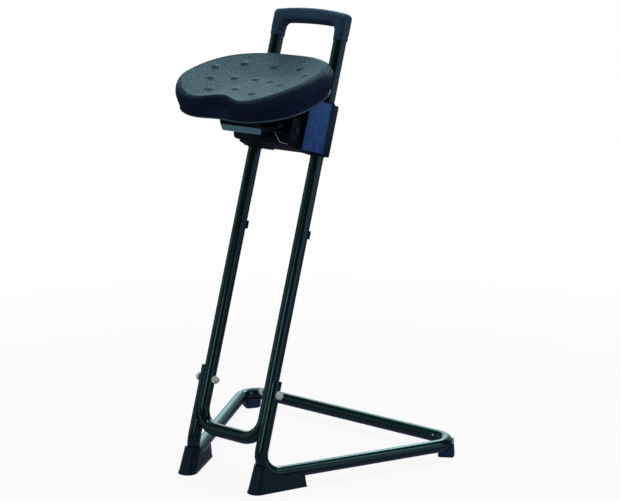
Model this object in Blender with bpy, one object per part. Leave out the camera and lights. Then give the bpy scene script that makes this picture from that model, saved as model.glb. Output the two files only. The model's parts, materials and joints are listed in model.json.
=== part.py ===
"""Perch stool: leaning two-tube frame, sliding carriage, formed seat.

The stool frame has +X to the side, +Y to the rear and +Z up, with the floor at zero.
The mast frame leans with the uprights: its third axis runs up along them and its second points rearward.
Lengths are in metres and angles in radians.
"""
import math

import bmesh
import bpy
from mathutils import Matrix, Vector

# General
GAP = 0.0003
OVERRUN = 0.004
ROUND_SIDES = 20
FASTENER_SIDES = 12
SMOOTH_ANGLE = math.radians(35)

# Tubes and the lean of the uprights
TUBE_D = 0.025
TUBE_WALL = 0.002
TUBE_R = TUBE_D / 2
BORE_R = TUBE_R - TUBE_WALL
LEAN = math.radians(18.4)
BEND_STEPS = 7

# Upright frame
UPRIGHT_SPACING = 0.150
HALF_SPACING = UPRIGHT_SPACING / 2
CROSSBAR_LEVEL = 0.090
CROSSBAR_AT = CROSSBAR_LEVEL / math.cos(LEAN)
U_BEND_RADIUS = 0.040

# Base frame
BASE_LEVEL = 0.0284
BASE_WIDTH = 0.5494
BASE_DEPTH = 0.4064
BASE_BEND_RADIUS = 0.036
UPSTAND_OFFSET = 0.0072
UPSTAND_X = HALF_SPACING + UPSTAND_OFFSET
UPSTAND_TOP = 0.210
NEST_RINGS = 8
NEST_OUTER_ANGLE = math.radians(85)
NEST_BORE_ANGLE = math.radians(55)

# Frame bolts
BOLT_LEVEL = 0.1855
BOLT_D = 0.008
BOLT_HOLE_PLAY = 0.0006
BOLT_HEAD_FLATS = 0.0145
BOLT_HEAD_HEIGHT = 0.0053
BOLT_HEAD_CROWN = 0.0014
BOLT_END = 0.0045
NUT_HEIGHT = 0.0065
NUT_FLATS = 0.013
WASHER_D = 0.0165
WASHER_THICKNESS = 0.0016

# Front boots
BOOT_TOP = 0.050
BOOT_LENGTH = 0.0905
BOOT_NOSE_BACK = 0.0078
BOOT_WALL = 0.0030
BOOT_FLARE = 0.0022
BOOT_LIP = 0.0010
BOOT_LIP_HEIGHT = 0.0035
BOOT_END_SLANT = 0.0035
BOOT_ROUND_STEPS = 10

# Rear feet
REAR_FOOT_WIDTH = 0.034
REAR_FOOT_INSIDE = 0.0155
REAR_FOOT_WALL = 0.0030
REAR_FOOT_TOP = 0.031
REAR_FOOT_SHOULDER = 0.0215
REAR_FOOT_CORNER = 0.006

# Vent plugs in the rear crossbar
PLUG_FROM_CORNER = 0.0622
PLUG_TURN = math.radians(20)
PLUG_HEAD_D = 0.0048
PLUG_HEAD_HEIGHT = 0.0010
PLUG_SHANK_D = 0.0030
PLUG_LENGTH = 0.0035

# Stops
STOP_TOP = 0.4945
STOP_HEIGHT = 0.0155
STOP_WIDTH = 0.016
STOP_PROUD = 0.0054
STOP_WRAP = 0.0050
STOP_CORNER = 0.0020
STOP_SCREW_D = 0.0032
STOP_SCREW_HEAD_D = 0.0064
STOP_SCREW_HEAD = 0.0016
STOP_SCREW_LENGTH = 0.0100

# Handle
HANDLE_SEAT = 0.8642
HANDLE_RISE = 0.0452
HANDLE_TOP = HANDLE_SEAT + HANDLE_RISE
HANDLE_SAG = 0.0065
HANDLE_LEG_D = 0.0256
HANDLE_BAR = 0.0290
HANDLE_UNDER_SAG = 0.0025
HANDLE_CORNER = 0.0100
HANDLE_EDGE = 0.0090
HANDLE_EDGE_STEPS = 3
HANDLE_SPIGOT = 0.030
HANDLE_EMBED = 0.006
ARCH_SHARES = (-0.6, -0.3, 0.0, 0.3, 0.6)
COLLAR_D = 0.0278
COLLAR_HEIGHT = 0.0114
UPRIGHT_TOP = HANDLE_SEAT - GAP

# Carriage body and rear covers, heights above the carriage's underside
CARRIAGE_AT = 0.637
CARRIAGE_HEIGHT = 0.094
CARRIAGE_FRONT = 0.050
CARRIAGE_FRONT_WIDTH = UPRIGHT_SPACING
COVER_ROOM = 0.0075
CARRIAGE_WIDTH = UPRIGHT_SPACING + TUBE_D + 2 * COVER_ROOM
CARRIAGE_CORNER = 0.004
SHELL_WALL = 0.003
PARTING = 0.012
BACK_INSET = 0.034
BACK_WIDTH = UPRIGHT_SPACING - 2 * BACK_INSET
BACK_REACH = 0.015
COVER_REACH = 0.020
COVER_OUTER_CORNER = 0.015
COVER_INNER_CORNER = 0.005
COVER_LIP = 0.0018
COVER_SCREW_SHARES = (0.40, 0.78)
COVER_SCREW_INSET = 0.023
COVER_SCREW_X = HALF_SPACING - COVER_SCREW_INSET
COVER_SCREW_D = 0.004
COVER_SCREW_HEAD_D = 0.0078
COVER_SCREW_HEAD = 0.0022
COVER_BOSS_D = 0.009

# Glide bushes
BUSH_PLAY = 0.0003
BUSH_D = 0.0285
BUSH_FLANGE_D = 0.0324
BUSH_FLANGE = 0.0025
BUSH_LENGTH = 0.0170
BUSH_PROUD = 0.0035

# Lock plates and springs
LOCK_PLATE = 0.003
LOCK_TILT = math.radians(6)
LOCK_HOLE_PLAY = 0.0006
LOCK_PIVOT_BACK = 0.014
LOCK_TAB_REACH = 0.046
LEVER_ARM_INSET = 0.035
LEVER_ARM_X = HALF_SPACING - LEVER_ARM_INSET
LOCK_TAB_LEAD = 0.006
LOCK_TAB_WIDTH = 0.032
LOCK_TAB_INNER = LEVER_ARM_X - LOCK_TAB_LEAD
LOCK_EDGE = 0.0165
LOCK_OUTER_EDGE = 0.0155
LOCK_NECK = 0.0025
LOCK_CORNER_SHARE = 0.7
LOCK_REAR_EDGE = 0.001
LOCK_SHOULDER_SHARE = 0.65
RIB_HEIGHT = 0.005
RIB_MARGIN = 0.0008
RIB_HALF_LENGTH = 0.009
LOCK_SPRING_STEP = 0.022
LOCK_SPRING_BACK = -0.038
LOCK_SPRING_D = 0.0085
LOCK_SPRING_WIRE = 0.0012
LOCK_SPRING_TURNS = 5
SPRING_STEPS = 9
SPRING_SIDES = 5

# Mechanism housing in front of the carriage
BLOCK_INSET = 0.008
BLOCK_WIDTH = CARRIAGE_FRONT_WIDTH - 2 * BLOCK_INSET
BLOCK_REACH = 0.030
BLOCK_BOTTOM = 0.0008
BLOCK_TOP = 0.0555
BLOCK_CORNER = 0.010
BLOCK_TOP_CORNER = 0.003
BLOCK_POST = 0.011
BLOCK_POST_DEPTH = 0.010
BLOCK_SCREW_D = 0.004
BLOCK_SCREW_HEAD_D = 0.0075
BLOCK_SCREW_HEAD = 0.0025
WINDOW_MARGIN = 0.0030
WINDOW_LIFT = 0.0045

# Release lever, places relative to its pin
LEVER_PIN_AHEAD = 0.066
LEVER_PIN_UP = 0.031
LEVER_PIN_D = 0.006
LEVER_HUB_D = 0.012
LEVER_ARM_THICKNESS = 0.003
LEVER_ARM_DEPTH = 0.008
LEVER_NOSE_REACH = 0.026
LEVER_NOSE_LENGTH = 0.005
LEVER_NOSE_DROP = 0.0030
PADDLE_TOP_AHEAD = 0.0885
PADDLE_TOP_DROP = 0.0095
PADDLE_TOP_DEPTH = 0.0110
PADDLE_LOW_AHEAD = 0.0735
PADDLE_LOW_DROP = 0.0252
PADDLE_LOW_DEPTH = 0.0040
PADDLE_LOW_RISE = 0.0030
PADDLE_LOW_FLAT = 0.0008
PADDLE_OVERHANG = 0.004
PADDLE_WIDTH = 2 * (LEVER_ARM_X + PADDLE_OVERHANG)
PADDLE_CORNER = 0.0025
PIN_HEAD_D = 0.010
PIN_HEAD = 0.0015
PIN_GROOVE_OFFSET = 0.0012
PIN_RING_D = 0.0095
PIN_RING = 0.0010
LEVER_SPRING_WIRE = 0.0015
LEVER_SPRING_D = 0.0162
LEVER_SPRING_TURNS = 4
LEVER_SPRING_PITCH = 0.0019
LEVER_SPRING_START = 0.0115
LEVER_SPRING_X = LEVER_ARM_X - LEVER_SPRING_START
LEVER_SPRING_STAND_OFF = 0.0005
LEVER_SPRING_KNEE = 0.0180
LEVER_SPRING_ELBOW = 0.0077
LEVER_SPRING_ELBOW_UP = 0.0159
LEVER_SPRING_KNEE_UP = 0.0046
LEVER_SPRING_TIP = 0.0355
LEVER_SPRING_TIP_UP = 0.0030
LEVER_SPRING_HOOK = 0.006

# Seat, in its own frame: side, rear and up from the middle of its rim
SEAT_TILT = math.radians(13.8)
SEAT_AHEAD = 0.1293
SEAT_BELOW_TOP = 0.0283
SEAT_UP = CARRIAGE_HEIGHT - SEAT_BELOW_TOP
# Outline of the rim, and of the cushion at its widest: half width, reach to the front and to the rear,
# how square the front and rear halves are, depth and width of the hollow in the front
RIM_OUTLINE = (0.1407, 0.1013, 0.1229, 2.34, 2.75, 0.0104, 0.0464)
TOP_OUTLINE = (0.1509, 0.1177, 0.1411, 1.85, 2.48, 0.0381, 0.0504)
TOP_HALF_WIDTH, TOP_FRONT, TOP_REAR = TOP_OUTLINE[:3]
SEAT_EDGE = 0.0445
SEAT_SIDE_RISE = 0.0072
SEAT_REAR_RISE = 0.0019
SEAT_FRONT_DROP = 0.0088
SEAT_MIDDLE = 0.0345
SEAT_MIDDLE_BACK = 0.0279
SEAT_SIDES = 48
DISH_POWER_ALONG = 1.25
DISH_POWER_ACROSS = 1.65
SEAT_LIP = 0.003
SEAT_ROUND = 0.014
# Each wall ring: share of the way out from the rim, share of the height to the widest place
WALL_SHARES = ((0.16, 0.22), (0.62, 0.62), (1.0, 1.0))
# Each ring of the rounded edge: share of the widest reach, share of the rounding's height below the edge
ROUND_SHARES = ((0.994, 0.55), (0.980, 0.20), (0.955, 0.0))
# Rings of the top: shares of the reach from the middle to the edge
TOP_SHARES = (0.93, 0.84, 0.72, 0.58, 0.42, 0.24)
NUB_D = 0.0175
NUB_RISE = 0.0026
NUB_SINK = 0.004
NUB_SIDES = 8
NUB_RING_SHARES = ((1.0, 0.0), (0.92, 0.35), (0.55, 0.85))
# Places of the nubs on one side: shares of the half width and of the depth behind the middle
NUB_PAIR_SHARES = ((0.437, 0.530), (0.705, 0.267), (0.279, 0.111), (0.539, -0.044), (0.337, -0.342))
NUB_MIDDLE_SHARES = (0.566, 0.174, -0.248)

# Seat plate and bracket
PLATE_THICKNESS = 0.009
PLATE_INSET_SHARE = 0.80
PLATE_FRONT = -0.024
PLATE_SIDES = 28
BRACKET_SHEET = 0.003
BRACKET_OVERHANG = 0.008
BRACKET_WIDTH = 2 * (LEVER_ARM_X + BRACKET_OVERHANG)
BRACKET_FRONT = -0.015
BRACKET_STEP = 0.0008
BRACKET_NOSE_DEPTH = 0.012
BRACKET_CLEAR = 0.002
BRACKET_BOLT_D = 0.006
BRACKET_BOLT_HEAD_FLATS = 0.010
BRACKET_BOLT_HEAD = 0.004
BRACKET_BOLT_INSET = 0.018
BRACKET_BOLT_X = BRACKET_WIDTH / 2 - BRACKET_BOLT_INSET
BRACKET_BOLT_SHARES = (0.27, 0.745)
SEAT_SCREW_D = 0.005
SEAT_SCREW_HEAD_D = 0.011
SEAT_SCREW_HEAD = 0.003
SEAT_SCREW_INSET = 0.014
SEAT_SCREW_X = BRACKET_WIDTH / 2 - SEAT_SCREW_INSET
SEAT_SCREW_FRONT = -0.004
SEAT_SCREW_REAR = 0.066
SEAT_SCREW_BITE = 0.007

# Finishes: colour, roughness, metallic
GLOSS_BLACK = ((0.006, 0.010, 0.010), 0.18, 0.0)
BLACK_PLASTIC = ((0.010, 0.014, 0.018), 0.45, 0.0)
NAVY_PLASTIC = ((0.012, 0.020, 0.050), 0.42, 0.0)
SLATE_PLASTIC = ((0.040, 0.075, 0.110), 0.45, 0.0)
SEAT_SKIN = ((0.010, 0.014, 0.020), 0.50, 0.0)
ZINC = ((0.62, 0.64, 0.60), 0.30, 1.0)
SPRING_STEEL = ((0.45, 0.46, 0.47), 0.30, 1.0)
GREY_PLASTIC = ((0.55, 0.57, 0.57), 0.40, 0.0)
PLYWOOD = ((0.45, 0.30, 0.16), 0.60, 0.0)

SIDES = (("left", -1), ("right", 1))


def clear_scene():
    for obj in list(bpy.data.objects):
        bpy.data.objects.remove(obj)


def empty(name, parent, place=(0, 0, 0), turn_x=0):
    obj = bpy.data.objects.new(name, None)
    bpy.context.collection.objects.link(obj)
    obj.parent = parent
    obj.location = place
    obj.rotation_euler = (turn_x, 0, 0)
    return obj


def paint(name, finish):
    colour, roughness, metallic = finish
    material = bpy.data.materials.new(name)
    material.use_nodes = True
    shader = material.node_tree.nodes["Principled BSDF"]
    shader.inputs["Base Color"].default_value = (*colour, 1)
    shader.inputs["Roughness"].default_value = roughness
    shader.inputs["Metallic"].default_value = metallic
    return material


def solid(name, bm, parent, finish=None):
    """Turns a bmesh into an object; without a finish it is a hidden cutter or joining solid."""
    bmesh.ops.recalc_face_normals(bm, faces=bm.faces)
    mesh = bpy.data.meshes.new(name)
    bm.to_mesh(mesh)
    bm.free()
    obj = bpy.data.objects.new(name, mesh)
    bpy.context.collection.objects.link(obj)
    obj.parent = parent
    if finish is None:
        obj.hide_render = True
        obj.display_type = "WIRE"
        return obj
    mesh.materials.append(paint(name, finish))
    mesh.shade_smooth()
    mesh.set_sharp_from_angle(angle=SMOOTH_ANGLE)
    return obj


def boolean(obj, others, operation):
    for other in others:
        step = obj.modifiers.new(operation.lower(), "BOOLEAN")
        step.operation = operation
        step.object = other


def cut(obj, *others):
    boolean(obj, others, "DIFFERENCE")


def join(obj, *others):
    boolean(obj, others, "UNION")


def keep(obj, *others):
    boolean(obj, others, "INTERSECT")


def mix(start, end, share):
    return start + (end - start) * share


def loft(rings, close_start=True, close_end=True, bm=None):
    """Skins rings of points that all hold the same count."""
    bm = bm or bmesh.new()
    rows = [[bm.verts.new(point) for point in ring] for ring in rings]
    count = len(rows[0])
    for low, high in zip(rows, rows[1:]):
        for k in range(count):
            after = (k + 1) % count
            bm.faces.new((low[k], low[after], high[after], high[k]))
    if close_start:
        bm.faces.new(rows[0])
    if close_end:
        bm.faces.new(rows[-1])
    return bm


def circle(centre, radius, first, second, sides):
    """Points round a centre in the plane of two unit vectors."""
    points = []
    for k in range(sides):
        angle = 2 * math.pi * k / sides
        points.append(centre + first * (radius * math.cos(angle)) + second * (radius * math.sin(angle)))
    return points


def turned(profile, start, direction, sides=FASTENER_SIDES, bm=None):
    """A turned solid: each step is a radius, a height and, for a hexagon, its flats as a third value."""
    direction = Vector(direction).normalized()
    first = direction.orthogonal().normalized()
    second = direction.cross(first)
    rings = []
    for step in profile:
        ring = circle(Vector(start) + direction * step[1], step[0], first, second, sides)
        if len(step) > 2:
            middle = Vector(start) + direction * step[1]
            corner_scale = 1 / math.cos(math.pi / 6)
            ring = [middle + (p - middle) * (corner_scale if k % 2 == 0 else 1) for k, p in enumerate(ring)]
        rings.append(ring)
    return loft(rings, bm=bm)


def cylinder(radius, start, end, sides=ROUND_SIDES, bm=None):
    start, end = Vector(start), Vector(end)
    return turned(((radius, 0), (radius, (end - start).length)), start, end - start, sides, bm)


def ring_solid(outer, inner, start, end, sides=ROUND_SIDES):
    """A plain ring or sleeve between two points."""
    start, end = Vector(start), Vector(end)
    direction = (end - start).normalized()
    first = direction.orthogonal().normalized()
    second = direction.cross(first)
    loops = ((outer, start), (outer, end), (inner, end), (inner, start))
    return closed_loft([circle(middle, radius, first, second, sides) for radius, middle in loops])


def closed_loft(rings):
    """Skins rings into a ring-shaped solid whose last ring meets its first."""
    bm = bmesh.new()
    rows = [[bm.verts.new(point) for point in ring] for ring in rings]
    count = len(rows[0])
    for low, high in zip(rows, rows[1:] + rows[:1]):
        for k in range(count):
            after = (k + 1) % count
            bm.faces.new((low[k], low[after], high[after], high[k]))
    return bm


def in_plan(p, q, height):
    return Vector((p, q, height))


def in_front_view(p, q, height):
    return Vector((p, height, q))


def in_side_view(p, q, height):
    return Vector((height, p, q))


def prism(outline, low, high, place=in_plan, bm=None):
    """Extrudes a flat outline between two levels; place says which plane it is drawn in."""
    rings = [[place(p, q, level) for p, q in outline] for level in (low, high)]
    return loft(rings, bm=bm)


def box(x0, x1, y0, y1, z0, z1, bm=None):
    return prism(((x0, y0), (x1, y0), (x1, y1), (x0, y1)), z0, z1, bm=bm)


def rounded(corners, steps=4):
    """A flat outline from corners of two coordinates and a radius."""
    points = []
    count = len(corners)
    for k, (p, q, radius) in enumerate(corners):
        here = Vector((p, q))
        if radius == 0:
            points.append((p, q))
            continue
        before = (Vector(corners[k - 1][:2]) - here).normalized()
        after = (Vector(corners[(k + 1) % count][:2]) - here).normalized()
        half = before.angle(after) / 2
        middle = here + (before + after).normalized() * (radius / math.sin(half))
        first = here + before * (radius / math.tan(half)) - middle
        last = here + after * (radius / math.tan(half)) - middle
        for step in range(steps + 1):
            share = step / steps
            angle = math.pi - 2 * half
            weight = math.sin(angle * (1 - share)), math.sin(angle * share)
            spoke = (first * weight[0] + last * weight[1]) / math.sin(angle)
            points.append(tuple(middle + spoke))
    return points


def bend(corner, incoming, outgoing, radius, steps=BEND_STEPS):
    """Points and directions round a tube bend that replaces a corner."""
    turn = incoming.angle(outgoing)
    axis = incoming.cross(outgoing).normalized()
    inward = axis.cross(incoming)
    centre = corner - incoming * (radius * math.tan(turn / 2)) + inward * radius
    route = []
    for step in range(steps + 1):
        spin = Matrix.Rotation(turn * step / steps, 3, axis)
        route.append((centre - (spin @ inward) * radius, spin @ incoming))
    return route


def carry(route, first, second):
    """Frames along a route: the two section directions are turned as little as the route allows."""
    frames = []
    last = None
    for point, direction in route:
        if last is not None:
            spin = last.rotation_difference(direction)
            first, second = spin @ first, spin @ second
        frames.append((point, first.copy(), second.copy()))
        last = direction
    return frames


def mirrored(rings):
    """The rings of a half tube that ends on the middle plane, followed by those of its other half."""
    other = [[Vector((-p.x, p.y, p.z)) for p in ring] for ring in reversed(rings[:-1])]
    return rings + other


def pipe(outer, bore):
    """A hollow tube, open at both ends, from the rings of its outside and of its bore."""
    return closed_loft(outer + list(reversed(bore)))


def route_points(route):
    return [point for point, _ in route]


def wire(points, radius, sides=SPRING_SIDES):
    """A round wire along a list of points."""
    route = []
    for k, point in enumerate(points):
        before = points[max(k - 1, 0)]
        after = points[min(k + 1, len(points) - 1)]
        route.append((point, (after - before).normalized()))
    first = route[0][1].orthogonal().normalized()
    frames = carry(route, first, route[0][1].cross(first))
    return loft([circle(p, radius, a, b, sides) for p, a, b in frames])


# Directions of the mast frame as seen in the stool frame
MAST_UP = Vector((0, math.sin(LEAN), math.cos(LEAN)))
MAST_BACK = Vector((0, math.cos(LEAN), -math.sin(LEAN)))
SIDEWAYS = Vector((1, 0, 0))


def on_mast(x, back, height):
    return SIDEWAYS * x + MAST_BACK * back + MAST_UP * height


# Corners of the base tube on the right side, before bending
FRONT_CORNER = on_mast(UPSTAND_X, 0, BASE_LEVEL / math.cos(LEAN))
REAR_CORNER = Vector((BASE_WIDTH / 2, BASE_DEPTH, BASE_LEVEL))
SIDE_RUN = (REAR_CORNER - FRONT_CORNER).normalized()


def base_bends():
    front = bend(FRONT_CORNER, -MAST_UP, SIDE_RUN, BASE_BEND_RADIUS)
    rear = bend(REAR_CORNER, SIDE_RUN, -SIDEWAYS, BASE_BEND_RADIUS)
    middle = (Vector((0, BASE_DEPTH, BASE_LEVEL)), -SIDEWAYS)
    return front, rear, middle


def u_tube_side(back, height, radius):
    """How far to the side an upright of the given radius reaches, bend included."""
    reach = U_BEND_RADIUS + math.sqrt(max(radius ** 2 - back ** 2, 0))
    drop = max(CROSSBAR_AT + U_BEND_RADIUS - height, 0)
    if drop >= reach:
        return 0
    return HALF_SPACING - U_BEND_RADIUS + math.sqrt(reach ** 2 - drop ** 2)


def nest_ring(height, radius, keep_clear, nest_angle, fade):
    """A section of the upstand: round on its outside and pressed in where the upright lies."""
    half = mix(nest_angle, math.pi / 2, fade)
    above = height + U_BEND_RADIUS / NEST_RINGS / 2
    count = ROUND_SIDES // 2
    ring = []
    for k in range(count + 1):
        angle = mix(-half, half, k / count)
        ring.append(on_mast(UPSTAND_X + radius * math.cos(angle), radius * math.sin(angle), height))
    for k in range(1, count):
        back = radius * math.sin(half) * math.cos(math.pi * k / count)
        plain = UPSTAND_X - math.sqrt(max(radius ** 2 - back ** 2, 0))
        ring.append(on_mast(max(plain, u_tube_side(back, above, keep_clear)), back, height))
    return ring


def base_half_rings(radius, keep_clear, nest_angle):
    """Rings of the base tube from the top of the right upstand to the middle of the rear crossbar."""
    front, rear, middle = base_bends()
    rings = [nest_ring(UPSTAND_TOP, radius, keep_clear, nest_angle, 0)]
    for k in range(NEST_RINGS + 1):
        share = k / NEST_RINGS
        height = CROSSBAR_AT + U_BEND_RADIUS * (1 - share)
        rings.append(nest_ring(height, radius, keep_clear, nest_angle, share))
    start = (on_mast(UPSTAND_X, 0, CROSSBAR_AT), -MAST_UP)
    frames = carry([start] + front + rear + [middle], SIDEWAYS, MAST_BACK)
    count = ROUND_SIDES
    for point, first, second in frames[1:]:
        ring = circle(point, radius, first, second, count)
        quarter = count // 4
        rings.append(ring[-quarter:] + ring[:-quarter])
    return rings


def bolt_cutter(parent):
    return solid("bolt_hole", cylinder(BOLT_D / 2 + BOLT_HOLE_PLAY / 2, (-UPSTAND_X - TUBE_D, 0, BOLT_LEVEL),
                                       (UPSTAND_X + TUBE_D, 0, BOLT_LEVEL)), parent)


def upright_frame(mast, bolt_hole, stop_holes):
    corner = Vector((HALF_SPACING, 0, CROSSBAR_AT))
    up = Vector((0, 0, 1))
    route = [(Vector((HALF_SPACING, 0, UPRIGHT_TOP)), -up)]
    route += bend(corner, -up, -SIDEWAYS, U_BEND_RADIUS)
    route.append((Vector((0, 0, CROSSBAR_AT)), -SIDEWAYS))
    frames = carry(route, SIDEWAYS, Vector((0, 1, 0)))
    outer, bore = (
        mirrored([circle(p, radius, a, b, ROUND_SIDES) for p, a, b in frames]) for radius in (TUBE_R, BORE_R)
    )
    cut(solid("upright_frame", pipe(outer, bore), mast, GLOSS_BLACK), bolt_hole, *stop_holes)


def base_frame(root, bolt_hole, plug_holes):
    outer = mirrored(base_half_rings(TUBE_R, TUBE_R + GAP, NEST_OUTER_ANGLE))
    bore = mirrored(base_half_rings(BORE_R, TUBE_R + GAP + TUBE_WALL, NEST_BORE_ANGLE))
    cut(solid("base_frame", pipe(outer, bore), root, GLOSS_BLACK), bolt_hole, *plug_holes)


def base_tube_cutter(root):
    """The room that the base tube takes in its boots and feet."""
    front, rear, middle = base_bends()
    start = (on_mast(UPSTAND_X, 0, UPSTAND_TOP), -MAST_UP)
    frames = carry([start] + front + rear + [middle], SIDEWAYS, MAST_BACK)
    rings = [circle(p, TUBE_R + GAP, a, b, ROUND_SIDES) for p, a, b in frames]
    return solid("base_tube_room", loft(mirrored(rings)), root)


def boot_ring(height, side):
    """Plan outline of a front boot at a height: a half round nose round the upstand and two rear corners."""
    level = height / BOOT_TOP
    run = Vector(SIDE_RUN[:2]).normalized()
    nose = Vector((UPSTAND_X, height * math.tan(LEAN))) + run * BOOT_NOSE_BACK
    tail = Vector(FRONT_CORNER[:2]) + run * (BOOT_LENGTH + BOOT_END_SLANT * max(1 - height / BASE_LEVEL, 0))
    half = TUBE_R + GAP + BOOT_WALL + BOOT_FLARE * (1 - level)
    if height < BOOT_LIP_HEIGHT:
        half += BOOT_LIP
    axis = (tail - nose).normalized()
    across = Vector((axis.y, -axis.x))
    ring = [tail - across * half, tail + across * half]
    for k in range(BOOT_ROUND_STEPS + 1):
        angle = math.pi * k / BOOT_ROUND_STEPS
        ring.append(nose + across * (half * math.cos(angle)) - axis * (half * math.sin(angle)))
    return [Vector((side * p.x, p.y, height)) for p in ring]


def boot_profile(side):
    """Side outline of a front boot, swept across it: up its nose and back down along the tube."""
    run = Vector((SIDE_RUN.x, SIDE_RUN.y, 0)).normalized()
    across = Vector((run.y, -run.x, 0))
    front, _, _ = base_bends()
    ahead = -TUBE_D - BOOT_WALL - BOOT_FLARE - BOOT_TOP * math.sin(LEAN)
    behind = BOOT_LENGTH + BOOT_END_SLANT + OVERRUN
    top = BOOT_TOP / math.cos(LEAN)
    axis_points = [on_mast(UPSTAND_X, 0, top)]
    axis_points += [p for p in route_points(front) if p.z < BOOT_TOP]
    outline = [(ahead, -OVERRUN), (ahead, BOOT_TOP)]
    outline += [((p - FRONT_CORNER).dot(run), p.z) for p in axis_points]
    outline += [(behind, BASE_LEVEL), (behind, -OVERRUN)]
    half = TUBE_D + BOOT_WALL
    rings = []
    for v in (-half, half):
        points = [FRONT_CORNER + run * u + across * v for u, _ in outline]
        rings.append([Vector((side * p.x, p.y, z)) for p, (_, z) in zip(points, outline)])
    return loft(rings)


def front_boot(name, side, root, tube_room):
    levels = (0, BOOT_LIP_HEIGHT - GAP, BOOT_LIP_HEIGHT, BASE_LEVEL, BOOT_TOP + OVERRUN)
    boot = solid(f"front_boot_{name}", loft([boot_ring(z, side) for z in levels]), root, NAVY_PLASTIC)
    profile = solid(f"boot_side_view_{name}", boot_profile(side), root)
    keep(boot, profile)
    cut(boot, tube_room)


def rear_foot(name, side, root, tube_room):
    """A saddle under the rear bend, with a lip up the outside of the tube."""
    _, rear, _ = base_bends()
    apex, along = rear[BEND_STEPS // 2]
    after, along_after = rear[BEND_STEPS // 2 + 1]
    apex, along = (apex + after) / 2, (along + along_after).normalized()
    out = Vector((along.y, -along.x, 0))
    reach = TUBE_R + GAP + REAR_FOOT_WALL
    shoulder = -REAR_FOOT_INSIDE / 2
    outline = rounded((
        (-REAR_FOOT_INSIDE, 0, 0), (reach + BOOT_LIP, 0, 0), (reach + BOOT_LIP, BOOT_LIP_HEIGHT, 0),
        (reach, BOOT_LIP_HEIGHT, 0), (reach - BOOT_LIP, REAR_FOOT_TOP, 0), (0, REAR_FOOT_TOP, 0),
        (shoulder, REAR_FOOT_SHOULDER, 0), (-REAR_FOOT_INSIDE + BOOT_LIP, REAR_FOOT_SHOULDER, 0),
    ))
    rings = []
    for v in (-REAR_FOOT_WIDTH / 2, REAR_FOOT_WIDTH / 2):
        ring = [apex + out * u + along * v for u, _ in outline]
        rings.append([Vector((side * p.x, p.y, z)) for p, (_, z) in zip(ring, outline)])
    foot = solid(f"rear_foot_{name}", loft(rings), root, NAVY_PLASTIC)
    plan = rounded((
        (-REAR_FOOT_INSIDE - OVERRUN, -REAR_FOOT_WIDTH / 2 - OVERRUN, 0),
        (reach + BOOT_LIP, -REAR_FOOT_WIDTH / 2, REAR_FOOT_CORNER),
        (reach + BOOT_LIP, REAR_FOOT_WIDTH / 2, REAR_FOOT_CORNER),
        (-REAR_FOOT_INSIDE - OVERRUN, REAR_FOOT_WIDTH / 2 + OVERRUN, 0),
    ))
    rings = []
    for z in (-OVERRUN, REAR_FOOT_TOP + OVERRUN):
        ring = [apex + out * u + along * v for u, v in plan]
        rings.append([Vector((side * p.x, p.y, z)) for p in ring])
    keep(foot, solid(f"foot_plan_{name}", loft(rings), root))
    cut(foot, tube_room)


def frame_bolts(mast):
    """The bolt, washer and nut of each side, with the head outside."""
    for name, side in SIDES:
        seat = UPSTAND_X + TUBE_R + GAP
        out = (side, 0, 0)
        under_head = seat + WASHER_THICKNESS + GAP
        inner_face = HALF_SPACING - TUBE_R - GAP
        end = inner_face - NUT_HEIGHT - BOLT_END
        flats = BOLT_HEAD_FLATS / 2
        head_top = under_head + BOLT_HEAD_HEIGHT
        profile = ((BOLT_D / 2, end), (BOLT_D / 2, under_head), (flats, under_head, True),
                   (flats, head_top - BOLT_HEAD_CROWN, True), (flats - BOLT_HEAD_CROWN, head_top))
        start = (0, 0, BOLT_LEVEL)
        solid(f"frame_bolt_{name}", turned(profile, start, out), mast, ZINC)
        hole = BOLT_D / 2 + GAP
        washer = ring_solid(WASHER_D / 2, hole, (side * seat, 0, BOLT_LEVEL),
                            (side * (seat + WASHER_THICKNESS), 0, BOLT_LEVEL), FASTENER_SIDES)
        solid(f"frame_washer_{name}", washer, mast, ZINC)
        flats = NUT_FLATS / 2
        profile = ((flats, inner_face - NUT_HEIGHT, True), (flats, inner_face, True))
        nut = solid(f"frame_nut_{name}", turned(profile, start, out), mast, ZINC)
        bore = cylinder(hole, (side * (end - OVERRUN), 0, BOLT_LEVEL), (side * seat, 0, BOLT_LEVEL),
                        FASTENER_SIDES)
        cut(nut, solid(f"nut_bore_{name}", bore, mast))


def plug_place(side):
    out = Vector((0, -math.cos(PLUG_TURN), math.sin(PLUG_TURN)))
    return Vector((side * (BASE_WIDTH / 2 - PLUG_FROM_CORNER), BASE_DEPTH, BASE_LEVEL)), out


def plug_holes(root):
    holes = []
    for name, side in SIDES:
        axis, out = plug_place(side)
        hole = cylinder(PLUG_SHANK_D / 2 + GAP, axis, axis + out * TUBE_D, FASTENER_SIDES)
        holes.append(solid(f"plug_hole_{name}", hole, root))
    return holes


def vent_plug(name, side, root):
    axis, out = plug_place(side)
    head = TUBE_R + GAP
    rim = PLUG_HEAD_HEIGHT / 2
    profile = ((PLUG_SHANK_D / 2, head - PLUG_LENGTH), (PLUG_SHANK_D / 2, head), (PLUG_HEAD_D / 2, head),
               (PLUG_HEAD_D / 2, head + rim), (PLUG_SHANK_D / 2, head + PLUG_HEAD_HEIGHT))
    solid(f"vent_plug_{name}", turned(profile, axis, out), root, GREY_PLASTIC)


def stop_middle():
    return STOP_TOP - STOP_HEIGHT / 2


def stop_holes(mast):
    holes = []
    for name, side in SIDES:
        start = (side * HALF_SPACING, 0, stop_middle())
        end = (side * HALF_SPACING, TUBE_D, stop_middle())
        hole = cylinder(STOP_SCREW_D / 2 + GAP, start, end, FASTENER_SIDES)
        holes.append(solid(f"stop_hole_{name}", hole, mast))
    return holes


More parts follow.
